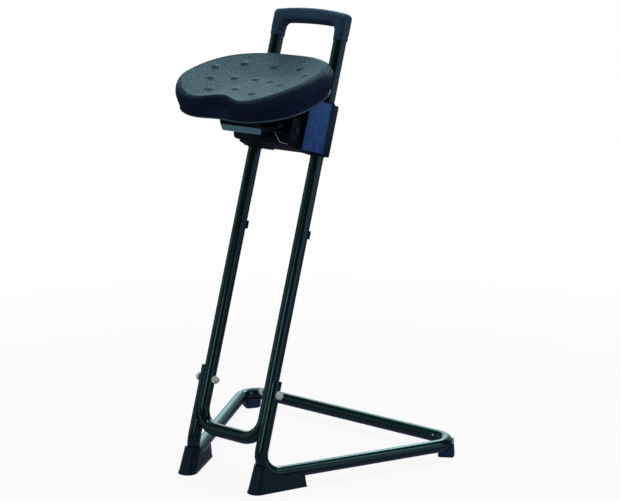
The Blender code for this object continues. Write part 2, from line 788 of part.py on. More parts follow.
def stop(name, side, mast, hole, upright_room):
    """A block screwed to the rear of an upright, hollowed to sit on it."""
    x = side * HALF_SPACING
    half = STOP_WIDTH / 2
    back = TUBE_R + STOP_PROUD
    front = back - STOP_PROUD - STOP_WRAP
    low, high = STOP_TOP - STOP_HEIGHT, STOP_TOP
    outline = rounded(((x - half, front, 0), (x + half, front, 0),
                       (x + half, back, STOP_CORNER), (x - half, back, STOP_CORNER)))
    block = solid(f"stop_{name}", prism(outline, low, high), mast, BLACK_PLASTIC)
    sink = cylinder(STOP_SCREW_HEAD_D / 2 + GAP, (x, back - STOP_SCREW_HEAD - GAP, stop_middle()),
                    (x, back + OVERRUN, stop_middle()), FASTENER_SIDES)
    cut(block, upright_room, hole, solid(f"stop_sink_{name}", sink, mast))
    head = back - STOP_SCREW_HEAD
    profile = ((STOP_SCREW_D / 2, back - STOP_SCREW_LENGTH), (STOP_SCREW_D / 2, head),
               (STOP_SCREW_HEAD_D / 2, head), (STOP_SCREW_HEAD_D / 2, back - STOP_SCREW_HEAD / 2),
               (STOP_SCREW_D / 2, back))
    solid(f"stop_screw_{name}", turned(profile, (x, 0, stop_middle()), (0, 1, 0)), mast, BLACK_PLASTIC)


def upright_cutter(mast):
    """The room that the two uprights take, one gap larger all round."""
    bm = bmesh.new()
    for _, side in SIDES:
        x = side * HALF_SPACING
        cylinder(TUBE_R + GAP, (x, 0, CROSSBAR_AT + U_BEND_RADIUS), (x, 0, HANDLE_SEAT - GAP), bm=bm)
    return solid("upright_room", bm, mast)


def grip_outline(inset):
    """Front outline of the grip with all but the ends of its legs drawn in."""
    outer = HALF_SPACING + HANDLE_LEG_D / 2 - inset
    inner = HALF_SPACING - HANDLE_LEG_D / 2 + inset
    top, under = HANDLE_TOP - inset, HANDLE_TOP - HANDLE_BAR + inset
    over, below = HANDLE_CORNER - inset, HANDLE_CORNER + inset
    corners = [(outer, HANDLE_SEAT, 0), (outer, top - HANDLE_SAG, over)]
    corners += [(-outer * s, top - HANDLE_SAG * s ** 2, 0) for s in ARCH_SHARES]
    corners += [(-outer, top - HANDLE_SAG, over), (-outer, HANDLE_SEAT, 0), (-inner, HANDLE_SEAT, 0)]
    corners += [(-inner, under - HANDLE_UNDER_SAG, below)]
    corners += [(inner * s, under - HANDLE_UNDER_SAG * s ** 2, 0) for s in ARCH_SHARES]
    corners += [(inner, under - HANDLE_UNDER_SAG, below), (inner, HANDLE_SEAT, 0)]
    return rounded(corners)


def handle_grip(mast):
    """An arched bar on two legs, with a spigot down the bore of each upright."""
    sections = []
    for step in range(HANDLE_EDGE_STEPS + 1):
        angle = math.pi / 2 * step / HANDLE_EDGE_STEPS
        level = HANDLE_LEG_D / 2 - HANDLE_EDGE * (1 - math.sin(angle))
        sections.append((grip_outline(HANDLE_EDGE * (1 - math.cos(angle))), level))
    faces = [(outline, -level) for outline, level in reversed(sections)] + sections
    bm = loft([[in_front_view(x, up, level) for x, up in outline] for outline, level in faces])
    grip = solid("handle_grip", bm, mast, NAVY_PLASTIC)
    spigots = bmesh.new()
    for _, side in SIDES:
        x = side * HALF_SPACING
        cylinder(BORE_R - GAP, (x, 0, HANDLE_SEAT - HANDLE_SPIGOT), (x, 0, HANDLE_SEAT + HANDLE_EMBED),
                 bm=spigots)
    join(grip, solid("spigots", spigots, mast))


def grip_collar(name, side, mast):
    x = side * HALF_SPACING
    top = HANDLE_SEAT - GAP
    collar = ring_solid(COLLAR_D / 2, TUBE_R + GAP, (x, 0, top - COLLAR_HEIGHT), (x, 0, top))
    solid(f"grip_collar_{name}", collar, mast, BLACK_PLASTIC)


def body_side_at(back, inset=0):
    """Half width of the carriage body's slanted side at a place behind the uprights' axis."""
    front, rear = CARRIAGE_FRONT_WIDTH / 2, CARRIAGE_WIDTH / 2
    slope = (rear - front) / (CARRIAGE_FRONT - PARTING)
    return front + slope * (back + CARRIAGE_FRONT) - inset * math.hypot(1, slope)


def carriage_cutters(carriage):
    """Room for the bushes in the body and covers."""
    bm = bmesh.new()
    for _, side in SIDES:
        x = side * HALF_SPACING
        cylinder(BUSH_D / 2 + GAP, (x, 0, -COVER_LIP - OVERRUN), (x, 0, CARRIAGE_HEIGHT + OVERRUN), bm=bm)
    return solid("bush_room", bm, carriage)


def lever_window():
    """The slot that the lever's arms pass through, in both walls in front of the uprights."""
    half = LEVER_ARM_X + LEVER_ARM_THICKNESS / 2 + WINDOW_MARGIN
    low = LEVER_PIN_UP - LEVER_ARM_DEPTH / 2 - WINDOW_MARGIN - LEVER_NOSE_DROP - WINDOW_LIFT
    high = LEVER_PIN_UP + LEVER_ARM_DEPTH / 2 + WINDOW_MARGIN
    return half, low, high


def carriage_body(carriage, bush_room):
    front, rear = CARRIAGE_FRONT_WIDTH / 2, CARRIAGE_WIDTH / 2
    tail, wall = BACK_WIDTH / 2, SHELL_WALL
    outline = rounded((
        (-front, -CARRIAGE_FRONT, CARRIAGE_CORNER), (front, -CARRIAGE_FRONT, CARRIAGE_CORNER),
        (rear, -PARTING, 0), (tail, -PARTING, 0), (tail, BACK_REACH, CARRIAGE_CORNER),
        (-tail, BACK_REACH, CARRIAGE_CORNER), (-tail, -PARTING, 0), (-rear, -PARTING, 0),
    ))
    body = solid("carriage_body", prism(outline, 0, CARRIAGE_HEIGHT), carriage, NAVY_PLASTIC)
    deep = -CARRIAGE_FRONT + wall
    past = -PARTING + OVERRUN
    side_front, side_rear = body_side_at(deep, wall), body_side_at(past, wall)
    lip, step = tail + wall, -PARTING - wall
    half = ((side_front, deep), (side_rear, past), (lip, past), (lip, step), (tail - wall, step),
            (tail - wall, BACK_REACH - wall))
    cavity = list(half) + [(-x, back) for x, back in reversed(half)]
    cavity_solid = solid("body_cavity", prism(cavity, wall, CARRIAGE_HEIGHT - wall), carriage)
    window_half, low, high = lever_window()
    ahead, behind = -CARRIAGE_FRONT - OVERRUN, deep + OVERRUN
    window = box(-window_half, window_half, ahead, behind, low, high)
    bolts = bmesh.new()
    for x, height in bracket_bolt_places():
        cylinder(BRACKET_BOLT_D / 2 + GAP, (x, ahead, height), (x, behind, height), FASTENER_SIDES, bolts)
    screws = bmesh.new()
    for _, side in SIDES:
        x, height = block_screw_place(side)
        cylinder(BLOCK_SCREW_D / 2 + GAP, (x, ahead, height), (x, behind, height), FASTENER_SIDES, screws)
    cut(body, cavity_solid, bush_room, solid("body_window", window, carriage),
        solid("bracket_bolt_holes", bolts, carriage), solid("block_screw_holes", screws, carriage))
    posts = bmesh.new()
    for x, height in cover_screw_places():
        cylinder(COVER_BOSS_D / 2, (x, step, height), (x, -CARRIAGE_FRONT + wall / 2, height), bm=posts,
                 sides=FASTENER_SIDES)
    join(body, solid("cover_posts", posts, carriage))
    pilot = bmesh.new()
    tip = -PARTING - COVER_BOSS_D - OVERRUN
    for x, height in cover_screw_places():
        cylinder(COVER_SCREW_D / 2 + GAP, (x, tip, height), (x, OVERRUN, height), FASTENER_SIDES, pilot)
    cut(body, solid("cover_pilot_holes", pilot, carriage))


def cover_screw_places():
    heights = [CARRIAGE_HEIGHT * share for share in COVER_SCREW_SHARES]
    return [(side * COVER_SCREW_X, height) for _, side in SIDES for height in heights]


def rear_cover(name, side, carriage, bush_room):
    """A shell round one upright, open towards the body, with a rib that the lock plate tilts against."""
    inner, outer = BACK_WIDTH / 2 + GAP, CARRIAGE_WIDTH / 2
    front = -PARTING + GAP
    wall = SHELL_WALL
    outline = rounded(((inner, front, 0), (outer, front, 0), (outer, COVER_REACH, COVER_OUTER_CORNER),
                       (inner, COVER_REACH, COVER_INNER_CORNER)))
    room = rounded(((inner + wall, front - OVERRUN, 0), (outer - wall, front - OVERRUN, 0),
                    (outer - wall, COVER_REACH - wall, COVER_OUTER_CORNER - wall),
                    (inner + wall, COVER_REACH - wall, COVER_INNER_CORNER - wall)))
    outline = [(side * x, back) for x, back in outline]
    room = [(side * x, back) for x, back in room]
    cover = solid(f"rear_cover_{name}", prism(outline, -COVER_LIP, CARRIAGE_HEIGHT), carriage, NAVY_PLASTIC)
    cut(cover, solid(f"cover_room_{name}", prism(room, wall, CARRIAGE_HEIGHT - wall), carriage), bush_room)
    low = lock_pivot_height() + GAP
    rib_front = TUBE_R + RIB_MARGIN
    xs = sorted((side * (HALF_SPACING - RIB_HALF_LENGTH), side * (HALF_SPACING + RIB_HALF_LENGTH)))
    rib = box(*xs, rib_front, COVER_REACH - wall / 2, low, low + RIB_HEIGHT)
    join(cover, solid(f"cover_rib_{name}", rib, carriage))
    bosses, holes = bmesh.new(), bmesh.new()
    for x, height in cover_screw_places():
        if x * side < 0:
            continue
        back = COVER_REACH - wall / 2
        cylinder(COVER_BOSS_D / 2, (x, front, height), (x, back, height), FASTENER_SIDES, bosses)
        shank, head = COVER_SCREW_D / 2 + GAP, COVER_SCREW_HEAD_D / 2 + GAP
        sink = COVER_REACH - COVER_SCREW_HEAD - GAP
        turned(((shank, front - OVERRUN), (shank, sink), (head, sink), (head, COVER_REACH + OVERRUN)),
               (x, 0, height), (0, 1, 0), bm=holes)
    join(cover, solid(f"cover_bosses_{name}", bosses, carriage))
    cut(cover, solid(f"cover_screw_holes_{name}", holes, carriage))


def cover_screws(carriage):
    names = [f"cover_screw_{name}_{level}" for name, _ in SIDES for level in ("low", "high")]
    for name, (x, height) in zip(names, cover_screw_places()):
        head = COVER_REACH - COVER_SCREW_HEAD
        profile = ((COVER_SCREW_D / 2, -PARTING - COVER_BOSS_D), (COVER_SCREW_D / 2, head),
                   (COVER_SCREW_HEAD_D / 2, head), (COVER_SCREW_HEAD_D / 2, head + COVER_SCREW_HEAD / 2),
                   (COVER_SCREW_D / 2, COVER_REACH))
        solid(name, turned(profile, (x, 0, height), (0, 1, 0)), carriage, ZINC)


def glide_bush(name, side, level, carriage):
    """A flanged bush; its flange lies against the inside of the carriage's bottom or top wall."""
    x = side * HALF_SPACING
    up = 1 if level == "lower" else -1
    outside = 0 if level == "lower" else CARRIAGE_HEIGHT
    bore = TUBE_R + BUSH_PLAY
    end = outside - up * BUSH_PROUD
    flange = outside + up * (SHELL_WALL + GAP)
    loops = ((bore, end), (BUSH_D / 2, end), (BUSH_D / 2, flange), (BUSH_FLANGE_D / 2, flange),
             (BUSH_FLANGE_D / 2, flange + up * BUSH_FLANGE), (BUSH_D / 2, flange + up * BUSH_FLANGE),
             (BUSH_D / 2, end + up * BUSH_LENGTH), (bore, end + up * BUSH_LENGTH))
    across, rearward = Vector((1, 0, 0)), Vector((0, 1, 0))
    rings = [circle(Vector((x, 0, z)), r, across, rearward, ROUND_SIDES) for r, z in loops]
    solid(f"glide_bush_{level}_{name}", closed_loft(rings), carriage, BLACK_PLASTIC)


def lever_nose_bottom():
    return LEVER_PIN_UP - LEVER_ARM_DEPTH / 2 - LEVER_NOSE_DROP


def lock_pivot_height():
    """Height of the plates' top rear edge, so that their tabs lie just under the lever's noses."""
    nose_front = LEVER_PIN_AHEAD - LEVER_NOSE_REACH + LEVER_NOSE_LENGTH
    return lever_nose_bottom() - GAP - (nose_front + LOCK_PIVOT_BACK) * math.tan(LOCK_TILT)


def lock_plate(name, side, carriage):
    """A plate round an upright, tilted about its rear edge; drawn square in its own frame."""
    pivot = empty(f"lock_pivot_{name}", carriage, (0, LOCK_PIVOT_BACK, lock_pivot_height()), -LOCK_TILT)
    rear, axis = LOCK_REAR_EDGE, -LOCK_PIVOT_BACK
    front = axis - LOCK_TAB_REACH
    corner = TUBE_R * LOCK_CORNER_SHARE
    shoulder = mix(axis - TUBE_R, front, LOCK_SHOULDER_SHARE)
    inner, outer = HALF_SPACING - LOCK_EDGE, HALF_SPACING + LOCK_OUTER_EDGE
    outline = ((inner, rear), (HALF_SPACING + corner, rear), (outer, axis + corner),
               (outer - LOCK_NECK, axis - TUBE_R), (HALF_SPACING, shoulder),
               (LOCK_TAB_INNER + LOCK_TAB_WIDTH, front), (LOCK_TAB_INNER, front),
               (LOCK_TAB_INNER, shoulder), (inner, axis - TUBE_R))
    outline = [(side * x, back) for x, back in outline]
    plate = solid(f"lock_plate_{name}", prism(outline, -LOCK_PLATE, 0), pivot, ZINC)
    x = side * HALF_SPACING
    hole = cylinder(TUBE_R + LOCK_HOLE_PLAY, (x, axis, -LOCK_PLATE - OVERRUN), (x, axis, OVERRUN))
    cut(plate, solid(f"lock_hole_{name}", hole, pivot))


def coil(radius, wire_radius, low, high, turns):
    """Points of a compression spring that rises from low to high, with flat first and last turns."""
    points = []
    steps = SPRING_STEPS * turns
    bottom, top = low + wire_radius, high - wire_radius
    closed = 2 * wire_radius + GAP
    for k in range(steps + 1):
        angle = 2 * math.pi * k / SPRING_STEPS
        turn = k / SPRING_STEPS
        if turn < 1:
            height = bottom + closed * turn
        elif turn > turns - 1:
            height = top - closed * (turns - turn)
        else:
            height = mix(bottom + closed, top - closed, (turn - 1) / (turns - 2))
        points.append(Vector((radius * math.cos(angle), radius * math.sin(angle), height)))
    return points


def lock_spring(name, side, carriage):
    top_face = lock_pivot_height() + (LOCK_PIVOT_BACK - LOCK_SPRING_BACK) * math.tan(LOCK_TILT)
    under = top_face - LOCK_PLATE / math.cos(LOCK_TILT) - LOCK_SPRING_D / 2 * math.tan(LOCK_TILT) - GAP
    radius = (LOCK_SPRING_D - LOCK_SPRING_WIRE) / 2
    points = coil(radius, LOCK_SPRING_WIRE / 2, SHELL_WALL + GAP, under, LOCK_SPRING_TURNS)
    shift = Vector((side * (LOCK_TAB_INNER + LOCK_SPRING_STEP), LOCK_SPRING_BACK, 0))
    spring = wire([p + shift for p in points], LOCK_SPRING_WIRE / 2)
    solid(f"lock_spring_{name}", spring, carriage, SPRING_STEEL)


def block_screw_place(side):
    x = BLOCK_WIDTH / 2 - SHELL_WALL - BLOCK_POST / 2
    return side * x, BLOCK_BOTTOM + SHELL_WALL + BLOCK_POST / 2


def mechanism_housing(carriage):
    """The block in front of the carriage body: an open-backed shell with the lever's pin across it."""
    half, wall = BLOCK_WIDTH / 2, SHELL_WALL
    outline = rounded(((-half, BLOCK_BOTTOM, BLOCK_CORNER), (half, BLOCK_BOTTOM, BLOCK_CORNER),
                       (half, BLOCK_TOP, BLOCK_TOP_CORNER), (-half, BLOCK_TOP, BLOCK_TOP_CORNER)))
    back = -CARRIAGE_FRONT - GAP
    front = back - BLOCK_REACH
    block = solid("mechanism_housing", prism(outline, front, back, in_front_view), carriage, BLACK_PLASTIC)
    inner = rounded(((-half + wall, BLOCK_BOTTOM + wall, BLOCK_CORNER - wall),
                     (half - wall, BLOCK_BOTTOM + wall, BLOCK_CORNER - wall),
                     (half - wall, BLOCK_TOP - wall, 0), (-half + wall, BLOCK_TOP - wall, 0)))
    room = solid("block_room", prism(inner, front + wall, back + OVERRUN, in_front_view), carriage)
    window_half, low, high = lever_window()
    window = solid("block_window", box(-window_half, window_half, front - OVERRUN, front + wall + OVERRUN,
                                       low, high), carriage)
    pin_hole = cylinder(LEVER_PIN_D / 2 + GAP, (-half - OVERRUN, -LEVER_PIN_AHEAD, LEVER_PIN_UP),
                        (half + OVERRUN, -LEVER_PIN_AHEAD, LEVER_PIN_UP))
    cut(block, room, window, solid("pin_hole", pin_hole, carriage))
    posts, pilots = bmesh.new(), bmesh.new()
    for _, side in SIDES:
        x, height = block_screw_place(side)
        reach = BLOCK_POST / 2 + wall / 2
        xs = sorted((x - side * BLOCK_POST / 2, x + side * reach))
        box(*xs, back - BLOCK_POST_DEPTH, back, height - reach, height + BLOCK_POST / 2, bm=posts)
        start, end = (x, back - BLOCK_POST_DEPTH + wall, height), (x, back + OVERRUN, height)
        cylinder(BLOCK_SCREW_D / 2 + GAP, start, end, FASTENER_SIDES, pilots)
    join(block, solid("block_posts", posts, carriage))
    cut(block, solid("block_pilot_holes", pilots, carriage))


def block_screws(carriage):
    for name, side in SIDES:
        x, height = block_screw_place(side)
        head = -CARRIAGE_FRONT + SHELL_WALL + GAP
        tip = -CARRIAGE_FRONT - BLOCK_POST_DEPTH + SHELL_WALL + GAP
        profile = ((BLOCK_SCREW_D / 2, tip), (BLOCK_SCREW_D / 2, head), (BLOCK_SCREW_HEAD_D / 2, head),
                   (BLOCK_SCREW_HEAD_D / 2, head + BLOCK_SCREW_HEAD / 2),
                   (BLOCK_SCREW_D / 2, head + BLOCK_SCREW_HEAD))
        solid(f"housing_screw_{name}", turned(profile, (x, 0, height), (0, 1, 0)), carriage, ZINC)


def release_lever(pivot):
    """Paddle, two arms, hub and the two noses that press the lock plates down; its frame lies on the pin."""
    half_depth = LEVER_ARM_DEPTH / 2
    section = (
        Vector((-PADDLE_TOP_AHEAD, -PADDLE_TOP_DROP)),
        Vector((-PADDLE_LOW_AHEAD, -PADDLE_LOW_DROP)),
        Vector((-PADDLE_LOW_AHEAD + PADDLE_LOW_DEPTH, -PADDLE_LOW_DROP + PADDLE_LOW_RISE)),
        Vector((-PADDLE_TOP_AHEAD + PADDLE_TOP_DEPTH, -PADDLE_TOP_DROP)),
    )
    middle = sum(section, Vector((0, 0))) / len(section)
    slope = middle.normalized()
    up = Vector((slope.y, -slope.x))
    low_front, high_front = middle - up * half_depth, middle + up * half_depth
    nose_start = LEVER_NOSE_REACH - LEVER_NOSE_LENGTH
    outline = (
        tuple(low_front), (0, -half_depth), (nose_start, -half_depth),
        (nose_start, -half_depth - LEVER_NOSE_DROP), (LEVER_NOSE_REACH, -half_depth - LEVER_NOSE_DROP),
        (LEVER_NOSE_REACH, half_depth), (0, half_depth), tuple(high_front),
    )
    arms = bmesh.new()
    for _, side in SIDES:
        x = side * LEVER_ARM_X
        prism(outline, x - LEVER_ARM_THICKNESS / 2, x + LEVER_ARM_THICKNESS / 2, in_side_view, arms)
    half = PADDLE_WIDTH / 2
    low, high = -PADDLE_LOW_DROP + PADDLE_LOW_FLAT, OVERRUN - PADDLE_TOP_DROP
    wide = half + OVERRUN
    lever = solid("release_lever", prism(section, -wide, wide, in_side_view), pivot, SLATE_PLASTIC)
    face = rounded(((-half, low, PADDLE_CORNER), (half, low, PADDLE_CORNER),
                    (half, high, 0), (-half, high, 0)))
    face_solid = prism(face, -PADDLE_TOP_AHEAD - OVERRUN, -PADDLE_LOW_AHEAD + PADDLE_TOP_DEPTH, in_front_view)
    keep(lever, solid("paddle_front_view", face_solid, pivot))
    reach = LEVER_ARM_X + LEVER_ARM_THICKNESS / 2
    hub = cylinder(LEVER_HUB_D / 2, (-reach, 0, 0), (reach, 0, 0))
    join(lever, solid("lever_arms", arms, pivot), solid("lever_hub", hub, pivot))
    cut(lever, solid("lever_bore", cylinder(LEVER_PIN_D / 2 + GAP, (-reach - OVERRUN, 0, 0),
                                            (reach + OVERRUN, 0, 0)), pivot))


def lever_pin(carriage):
    """The pin across the mechanism housing, with a head at one end and a ring in a groove at the other."""
    start = (0, -LEVER_PIN_AHEAD, LEVER_PIN_UP)
    r = LEVER_PIN_D / 2
    face = BLOCK_WIDTH / 2 + GAP
    groove_r = r - PIN_GROOVE_OFFSET / 2
    groove_end = face + PIN_RING + 2 * GAP
    profile = ((PIN_HEAD_D / 2, -face - PIN_HEAD), (PIN_HEAD_D / 2, -face), (r, -face), (r, face),
               (groove_r, face), (groove_r, groove_end), (r, groove_end), (r, groove_end + PIN_HEAD))
    solid("lever_pin", turned(profile, start, (1, 0, 0), ROUND_SIDES), carriage, ZINC)
    ring_start = face + GAP
    ring = ring_solid(PIN_RING_D / 2, groove_r + GAP, (ring_start, *start[1:]),
                      (ring_start + PIN_RING, *start[1:]), FASTENER_SIDES)
    solid("lever_pin_ring", ring, carriage, SPRING_STEEL)


def lever_spring(carriage):
    """A torsion spring round the lever's hub, with one leg down the front of the housing."""
    radius = (LEVER_SPRING_D - LEVER_SPRING_WIRE) / 2
    wire_r = LEVER_SPRING_WIRE / 2
    axis = Vector((0, -LEVER_PIN_AHEAD, LEVER_PIN_UP))
    face = -CARRIAGE_FRONT - GAP - BLOCK_REACH - wire_r - LEVER_SPRING_STAND_OFF
    low = LEVER_PIN_UP - radius
    leg = [
        Vector((LEVER_SPRING_X + LEVER_SPRING_TIP, face, LEVER_SPRING_TIP_UP)),
        Vector((LEVER_SPRING_X + LEVER_SPRING_KNEE + LEVER_SPRING_HOOK, face, LEVER_SPRING_KNEE_UP - wire_r)),
        Vector((LEVER_SPRING_X + LEVER_SPRING_KNEE, face, LEVER_SPRING_KNEE_UP)),
        Vector((LEVER_SPRING_X + LEVER_SPRING_ELBOW, face, LEVER_SPRING_ELBOW_UP)),
        Vector((LEVER_SPRING_X + wire_r, face, low)),
        Vector((LEVER_SPRING_X, face + SHELL_WALL, low + wire_r / 2)),
    ]
    points = leg
    steps = int(SPRING_STEPS * (LEVER_SPRING_TURNS + 1 / 2))
    for k in range(steps + 1):
        angle = 2 * math.pi * k / SPRING_STEPS
        place = Vector((0, -radius * math.sin(angle), -radius * math.cos(angle)))
        points.append(axis + place + Vector((LEVER_SPRING_X + LEVER_SPRING_PITCH * k / SPRING_STEPS, 0, 0)))
    last = points[-1]
    over = Vector((LEVER_ARM_X, last.y - LEVER_SPRING_HOOK, last.z))
    points += [last + Vector((0, -LEVER_SPRING_HOOK / 2, 0)), over]
    solid("lever_spring", wire(points, wire_r), carriage, SPRING_STEEL)


def outline_point(angle, outline):
    """A point of a rounded outline with a hollow in the middle of its front."""
    half_width, front, rear, front_power, rear_power, hollow, spread = outline
    c, s = math.cos(angle), math.sin(angle)
    along, power = (rear, rear_power) if s > 0 else (front, front_power)
    reach = ((abs(c) / half_width) ** power + (abs(s) / along) ** power) ** (-1 / power)
    u, v = reach * c, reach * s
    if s < 0:
        v += hollow * math.exp(-(u / spread) ** 2) * abs(s)
    return Vector((u, v))


def seat_edge_height(place):
    rise = SEAT_REAR_RISE if place.y > 0 else -SEAT_FRONT_DROP
    along = TOP_REAR if place.y > 0 else TOP_FRONT
    return SEAT_EDGE + SEAT_SIDE_RISE * (place.x / TOP_HALF_WIDTH) ** 2 + rise * (place.y / along) ** 2


def seat_top_point(angle, share):
    """A point of the dished top, at a share of the way from its middle to its edge."""
    widest = outline_point(angle, TOP_OUTLINE)
    edge = widest * ROUND_SHARES[-1][0]
    middle = Vector((0, SEAT_MIDDLE_BACK))
    across = (edge - middle).normalized().x ** 2
    power = mix(DISH_POWER_ALONG, DISH_POWER_ACROSS, across)
    height = mix(SEAT_MIDDLE, seat_edge_height(widest), share ** power)
    return Vector((*middle.lerp(edge, share), height))


def seat_height_at(x, back):
    """Height of the dished top over a place, along the ray from the middle that passes nearest to it."""
    middle = Vector((0, SEAT_MIDDLE_BACK))
    ray = Vector((x, back)) - middle
    rays = [(seat_top_point(a, 1).xy - middle, a) for a in seat_angles()]
    nearest, angle = min(rays, key=lambda pair: -pair[0].normalized().dot(ray.normalized()))
    return seat_top_point(angle, ray.length / nearest.length).z


def seat_angles():
    return [2 * math.pi * k / SEAT_SIDES for k in range(SEAT_SIDES)]


def nub_places():
    places = [(0, share * TOP_REAR) for share in NUB_MIDDLE_SHARES]
    for across, along in NUB_PAIR_SHARES:
        places += [(side * across * TOP_HALF_WIDTH, along * TOP_REAR) for _, side in SIDES]
    return places


def seat_rings():
    """Rings of the cushion from its rim up the wall, over the rounded edge and in over the dished top."""
    columns = []
    for angle in seat_angles():
        rim, widest = outline_point(angle, RIM_OUTLINE), outline_point(angle, TOP_OUTLINE)
        edge = seat_edge_height(widest)
        column = [Vector((*rim, 0)), Vector((*rim, SEAT_LIP))]
        for way, rise in WALL_SHARES:
            column.append(Vector((*rim.lerp(widest, way), mix(SEAT_LIP, edge - SEAT_ROUND, rise))))
        for reach, drop in ROUND_SHARES:
            column.append(Vector((*(widest * reach), edge - SEAT_ROUND * drop)))
        column += [seat_top_point(angle, share) for share in TOP_SHARES]
        columns.append(column)
    return list(zip(*columns))


def seat_cushion(seat):
    """The formed cushion: drawn-in walls, rounded edge, dished top and raised nubs."""
    bm = loft(seat_rings(), close_end=False)
    bm.verts.ensure_lookup_table()
    last = bm.verts[-SEAT_SIDES:]
    middle = bm.verts.new((0, SEAT_MIDDLE_BACK, SEAT_MIDDLE))
    for k in range(SEAT_SIDES):
        bm.faces.new((last[k], last[(k + 1) % SEAT_SIDES], middle))
    cushion = solid("seat_cushion", bm, seat, SEAT_SKIN)
    nubs = bmesh.new()
    for x, back in nub_places():
        profile = [(NUB_D / 2, -NUB_SINK)] + [(NUB_D / 2 * r, NUB_RISE * h) for r, h in NUB_RING_SHARES]
        turned(profile, (x, back, seat_height_at(x, back)), (0, 0, 1), NUB_SIDES, nubs)
    join(cushion, solid("nub_solids", nubs, seat))


def seat_screw_places():
    return [(side * SEAT_SCREW_X, back) for _, side in SIDES for back in (SEAT_SCREW_FRONT, SEAT_SCREW_REAR)]


def screw_holes(places, radius, low, high, name, parent):
    bm = bmesh.new()
    for x, back in places:
        cylinder(radius, (x, back, low), (x, back, high), FASTENER_SIDES, bm)
    return solid(name, bm, parent)


def seat_plate(seat):
    top = -GAP
    low = top - PLATE_THICKNESS
    outline = []
    for k in range(PLATE_SIDES):
        u, v = outline_point(2 * math.pi * k / PLATE_SIDES, RIM_OUTLINE) * PLATE_INSET_SHARE
        outline.append((u, max(v, PLATE_FRONT)))
    plate = solid("seat_plate", prism(outline, low, top), seat, PLYWOOD)
    cut(plate, screw_holes(seat_screw_places(), SEAT_SCREW_D / 2 + GAP, low - OVERRUN,
                           low + SEAT_SCREW_BITE + GAP, "plate_screw_holes", seat))


def bracket_top():
    return -GAP - PLATE_THICKNESS - GAP


def seat_to_carriage(back, up):
    """A place in the seat's middle plane as rearward distance and height in the carriage frame."""
    turn = SEAT_TILT + LEAN
    return (-SEAT_AHEAD + back * math.cos(turn) - up * math.sin(turn),
            SEAT_UP + back * math.sin(turn) + up * math.cos(turn))


def bracket_bolt_places():
    heights = [mix(BLOCK_TOP, CARRIAGE_HEIGHT, share) for share in BRACKET_BOLT_SHARES]
    return [(side * BRACKET_BOLT_X, height) for _, side in SIDES for height in heights]


def seat_bracket(seat, carriage):
    """Folded sheet: a top under the seat plate, two side plates and a back bolted to the carriage body."""
    half, sheet = BRACKET_WIDTH / 2, BRACKET_SHEET
    top = bracket_top()
    under = top - sheet
    middle = (top + under) / 2
    turn = SEAT_TILT + LEAN
    back = -CARRIAGE_FRONT - GAP
    rear = (back - seat_to_carriage(0, middle)[0]) / math.cos(turn)
    bracket = solid("seat_bracket", box(-half, half, BRACKET_FRONT, rear, under, top), seat, BLACK_PLASTIC)
    low = BLOCK_TOP + BRACKET_CLEAR
    front_high = seat_to_carriage(BRACKET_FRONT + sheet, middle)
    front_low = seat_to_carriage(BRACKET_FRONT + sheet, under - BRACKET_NOSE_DEPTH)
    rear_high = seat_to_carriage(rear, middle)[1]
    knee = back - BLOCK_REACH - BRACKET_CLEAR
    inside = back - sheet / 2
    side_low = low + sheet / 2
    outline = (front_low, (knee, side_low), (inside, side_low),
               (inside, rear_high - sheet * math.tan(turn) / 2), front_high)
    outer = half - 2 * BRACKET_STEP
    sides = bmesh.new()
    for _, side in SIDES:
        prism(outline, *sorted((side * outer, side * (outer - sheet))), in_side_view, sides)
    wide = half - BRACKET_STEP
    back_plate = box(-wide, wide, back - sheet, back, low, rear_high - sheet / 3)
    join(bracket, solid("bracket_sides", sides, carriage), solid("bracket_back", back_plate, carriage))
    holes = bmesh.new()
    for x, height in bracket_bolt_places():
        cylinder(BRACKET_BOLT_D / 2 + GAP, (x, back - sheet - OVERRUN, height), (x, back + OVERRUN, height),
                 FASTENER_SIDES, holes)
    cut(bracket, solid("bracket_holes", holes, carriage),
        screw_holes(seat_screw_places(), SEAT_SCREW_D / 2 + GAP, under - OVERRUN, top + OVERRUN,
                    "bracket_screw_holes", seat))


def bracket_bolts(carriage):
    names = [f"bracket_bolt_{name}_{level}" for name, _ in SIDES for level in ("low", "high")]
    head = CARRIAGE_FRONT + GAP + BRACKET_SHEET + GAP
    flats = BRACKET_BOLT_HEAD_FLATS / 2
    end = CARRIAGE_FRONT - SHELL_WALL - BRACKET_BOLT_D
    for name, (x, height) in zip(names, bracket_bolt_places()):
        profile = ((BRACKET_BOLT_D / 2, end), (BRACKET_BOLT_D / 2, head), (flats, head, True),
                   (flats, head + BRACKET_BOLT_HEAD, True))
        solid(name, turned(profile, (x, 0, height), (0, -1, 0)), carriage, ZINC)


def seat_screws(seat):
    names = [f"seat_screw_{name}_{place}" for name, _ in SIDES for place in ("front", "rear")]
    for name, (x, back) in zip(names, seat_screw_places()):
        head = bracket_top() - BRACKET_SHEET - GAP
        profile = ((SEAT_SCREW_HEAD_D / 2 - SEAT_SCREW_HEAD / 2, head - SEAT_SCREW_HEAD),
                   (SEAT_SCREW_HEAD_D / 2, head - SEAT_SCREW_HEAD / 2), (SEAT_SCREW_HEAD_D / 2, head),
                   (SEAT_SCREW_D / 2, head), (SEAT_SCREW_D / 2, -GAP - PLATE_THICKNESS + SEAT_SCREW_BITE))
        solid(name, turned(profile, (x, back, 0), (0, 0, 1)), seat, ZINC)


def centre_over_floor(root):
    """Moves the stool so that the middle of its overall depth lies over the origin."""
    bpy.context.view_layer.update()
    graph = bpy.context.evaluated_depsgraph_get()
    depths = []
    for obj in bpy.data.objects:
        if obj.type == "MESH" and not obj.hide_render:
            whole = obj.evaluated_get(graph)
            depths += [(obj.matrix_world @ v.co).y for v in whole.data.vertices]
    root.location.y -= (min(depths) + max(depths)) / 2
    bpy.context.view_layer.update()


